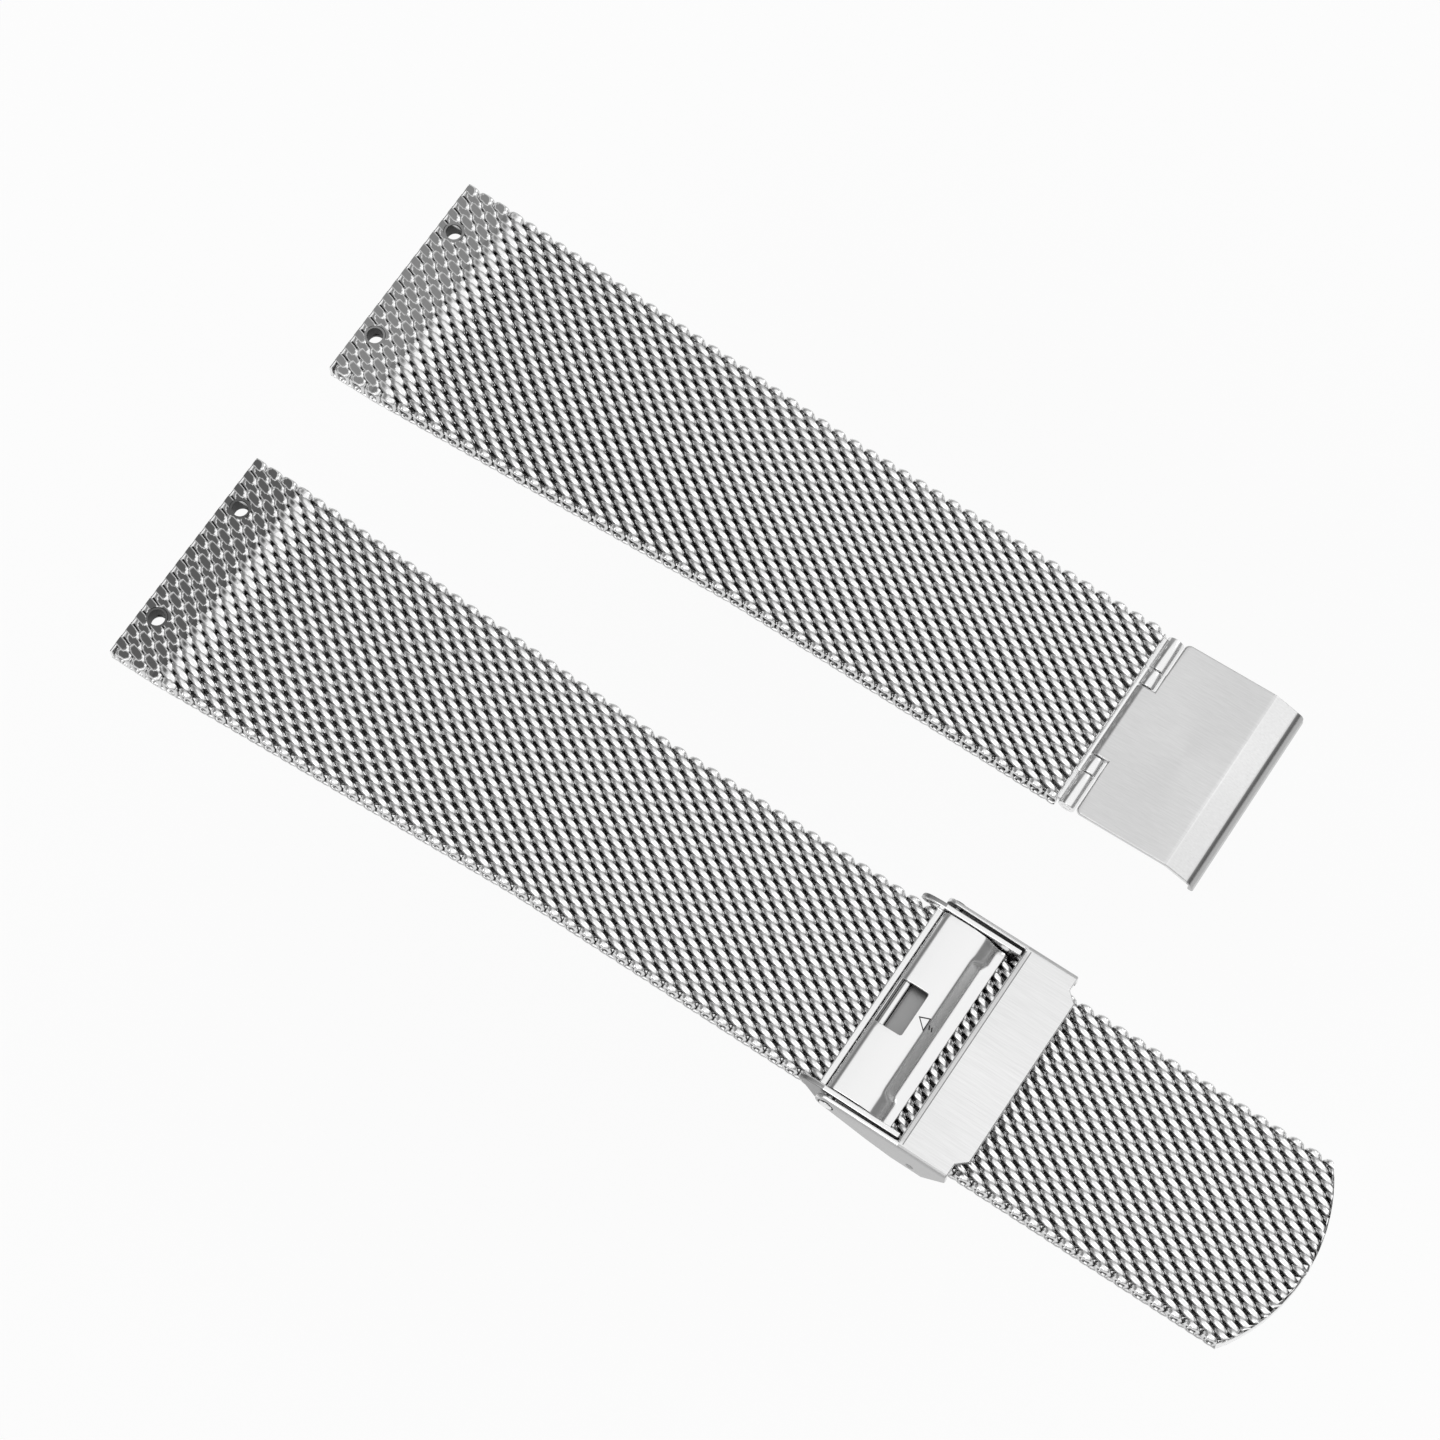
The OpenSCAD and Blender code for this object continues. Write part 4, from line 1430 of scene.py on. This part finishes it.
        # Painted light and shade: the top gets the satin painted lighter, the outer sides the satin
        # painted darker, and the inner sides and a thin line at the bevel's top edge the duller steel
        # painted darker.
        (x, y, _), (_, side, up) = (values.T for values in self.face_places(piece))
        outer = np.abs(y) > self.arm_half_w - 0.45
        sideways = np.abs(side) > np.where(outer & (x > self.bridge_from), 0.3, 0.7)
        choice = np.where(sideways, np.where(outer & (y * side > 0), 2, 1), 0)
        painted_shade_line = (np.abs(x - bevel_end) < 0.1 * self.bridge_bevel + 0.01) & (up > 0.9) & ~outer
        steels = [self.finishes.satin_painted_lighter, self.finishes.inner, self.finishes.satin_painted_darker]
        settle(piece, "cover", steels, np.where(painted_shade_line, 1, choice))

    def build(self) -> None:
        """Build every sheet and bar piece."""
        self.hook()
        self.cover()
        self.channel()
        self.flap()
        for node, name, body, rim in (
            ("clasp_pin", "clasp_pin_bar", "clasp", 0.05),
            ("hinge_fitting", "hinge_knuckles", "short_hinge_end", 0.08),
            ("hinge_spacers", "hinge_bushes", "short_hinge_end", 0.12),
            ("hinge_pin", "hinge_pin_bar", "short_hinge_end", 0.06),
        ):
            piece = self.rounded_copy(node, name, Edges(rim))
            settle(piece, body, [self.finishes.polished])
        self.cheeks()


# The stage


@dataclass
class Studio:
    """Floor, world, lamps and camera."""

    aim: tuple[float, float, float] = (-9.75, -3.19, 2.8)
    azimuth: float = 33.76
    elevation: float = 70.67
    distance: float = 353.5
    lens: float = 101.8
    dome: tuple[float, float, float] = (0.2, 0.05, 0.98)
    dome_levels: tuple[tuple[float, float], ...] = (
        (0.0, 0.35), (0.35, 0.18), (0.64, 0.22), (0.76, 0.95), (1.0, 1.0),
    )
    dome_light: float = 1.12
    end_light: float = 0.15
    side_light: float = 0.5
    floor_drop: float = 75.0
    floor_half: float = 3.0
    floor_white: float = 0.85

    def stand(self, name: str, data: Any, place: Vector, towards: Vector) -> Object:
        """Stand a camera or lamp at a place in metres, facing a direction."""
        made = link_object(name, data)
        made.location = place
        made.rotation_mode = "QUATERNION"
        made.rotation_quaternion = towards.to_track_quat("-Z", "Y")
        return made

    def camera(self) -> None:
        """Stand the camera where the photograph was taken."""
        data = bpy.data.cameras.new("camera")
        data.sensor_width = 36.0
        data.lens = self.lens
        data.clip_start, data.clip_end = 0.01, 10.0
        a, e = math.radians(self.azimuth), math.radians(self.elevation)
        back = Vector((math.sin(a) * math.cos(e), -math.cos(a) * math.cos(e), math.sin(e)))
        place = (Vector(self.aim) + back * self.distance) * MM
        bpy.context.scene.camera = self.stand("camera", data, place, -back)

    def floor(self) -> None:
        """Lay a plain white floor, which keeps the band's shadow.

        It lies low enough that a half can bend all the way down without going into it. The
        camera and the steel's reflections see it nearly white.
        """
        level = -self.floor_drop * MM
        corners = np.array([[-1, -1], [1, -1], [1, 1], [-1, 1]]) * self.floor_half
        points = np.column_stack([corners, np.full(4, level)])
        made = mesh_object("floor", points, [np.array([[0, 1, 2, 3]])])
        material = bpy.data.materials.new("white_floor")
        material.use_nodes = True
        tree = material.node_tree
        tree.nodes.clear()
        seen = add_node(tree, "LightPath").outputs
        paper = add_node(tree, "BsdfDiffuse", {"Color": srgb("f8f8f8")}).outputs["BSDF"]
        white = add_node(tree, "Emission", {"Color": WHITE, "Strength": 1.0}).outputs["Emission"]
        rays = {0: seen["Is Camera Ray"], 1: seen["Is Glossy Ray"]}
        either = add_node(tree, "Math", {"operation": "MAXIMUM"}, rays).outputs["Value"]
        share = add_node(tree, "Math", {"operation": "MULTIPLY", 1: self.floor_white}, {0: either})
        mixed = add_node(tree, "MixShader", links={0: share.outputs["Value"], 1: paper, 2: white})
        add_node(tree, "OutputMaterial", links={"Surface": mixed.outputs["Shader"]})
        made.data.materials.append(material)

    def world(self) -> None:
        """Light the band from a white dome overhead with darker walls round it.

        The light falls off with the angle from the middle of the dome, which leans a little
        towards the tip of the band, as the product of the two directions. The walls beside
        the band are lighter than those past its ends.
        """
        world = bpy.data.worlds.new("studio")
        bpy.context.scene.world = world
        world.use_nodes = True
        tree = world.node_tree
        tree.nodes.clear()
        place = add_node(tree, "TexCoord").outputs["Generated"]
        lean = add_node(tree, "VectorMath", {"operation": "DOT_PRODUCT", 1: self.dome}, {0: place})
        ramp = add_node(tree, "ValToRGB", links={"Fac": lean.outputs["Value"]})
        set_ramp(ramp, self.dome_levels)
        parts = add_node(tree, "SeparateXYZ", links={"Vector": place})
        across = add_node(tree, "Math", {"operation": "ABSOLUTE"}, {0: parts.outputs["Y"]})
        walls = add_node(
            tree, "MapRange",
            {"From Min": 0.3, "From Max": 0.75, "To Min": self.end_light, "To Max": self.side_light},
            {"Value": across.outputs["Value"]},
        )
        lights = {0: ramp.outputs["Color"], 1: walls.outputs["Result"]}
        level = add_node(tree, "Math", {"operation": "MAXIMUM"}, lights).outputs["Value"]
        dome = add_node(tree, "Background", {"Strength": self.dome_light}, {"Color": level})
        white = add_node(tree, "Background", {"Color": WHITE, "Strength": 1.0})
        seen = add_node(tree, "LightPath").outputs["Is Camera Ray"]
        ends = {0: seen, 1: dome.outputs["Background"], 2: white.outputs["Background"]}
        mixed = add_node(tree, "MixShader", links=ends)
        add_node(tree, "OutputWorld", links={"Surface": mixed.outputs["Shader"]})

    def lamp(self, name: str, place: tuple[float, float, float], power: float, size: float = 0.5) -> None:
        """Hang one soft square lamp that faces the band.

        Args:
            name: Name of the lamp.
            place: Where it hangs, in metres.
            power: Power in watts.
            size: Side of the square, in metres.
        """
        data = bpy.data.lights.new(name, "AREA")
        data.size = size
        data.energy = power
        self.stand(name, data, Vector(place), -Vector(place))

    def build(self) -> None:
        """Set up the whole stage."""
        bpy.context.scene.view_settings.view_transform = "Standard"
        self.camera()
        self.floor()
        self.world()
        self.lamp("key", (-0.15, -0.65, 0.7), 1.6)
        self.lamp("fill", (0.3, 0.75, 0.55), 1.0)


def main() -> None:
    """Build the band and its stage."""
    logging.basicConfig(level=logging.INFO, format="%(name)s: %(message)s")
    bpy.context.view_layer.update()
    finishes = Finishes()
    for half, length, ground, tip_bulge in (
        (Half.LONG, 115.5, finishes.ground, 3.1),
        # The short half's flats get the ground finish painted lighter.
        (Half.SHORT, 76.0, finishes.ground_painted_lighter, 0.0),
    ):
        steels = (finishes.wire, ground, finishes.engraving_and_shade, finishes.polished)
        Weave(half, length, *steels, tip_bulge=tip_bulge).build()
    Fittings(finishes).build()
    Studio().build()


if __name__ == "__main__":
    main()
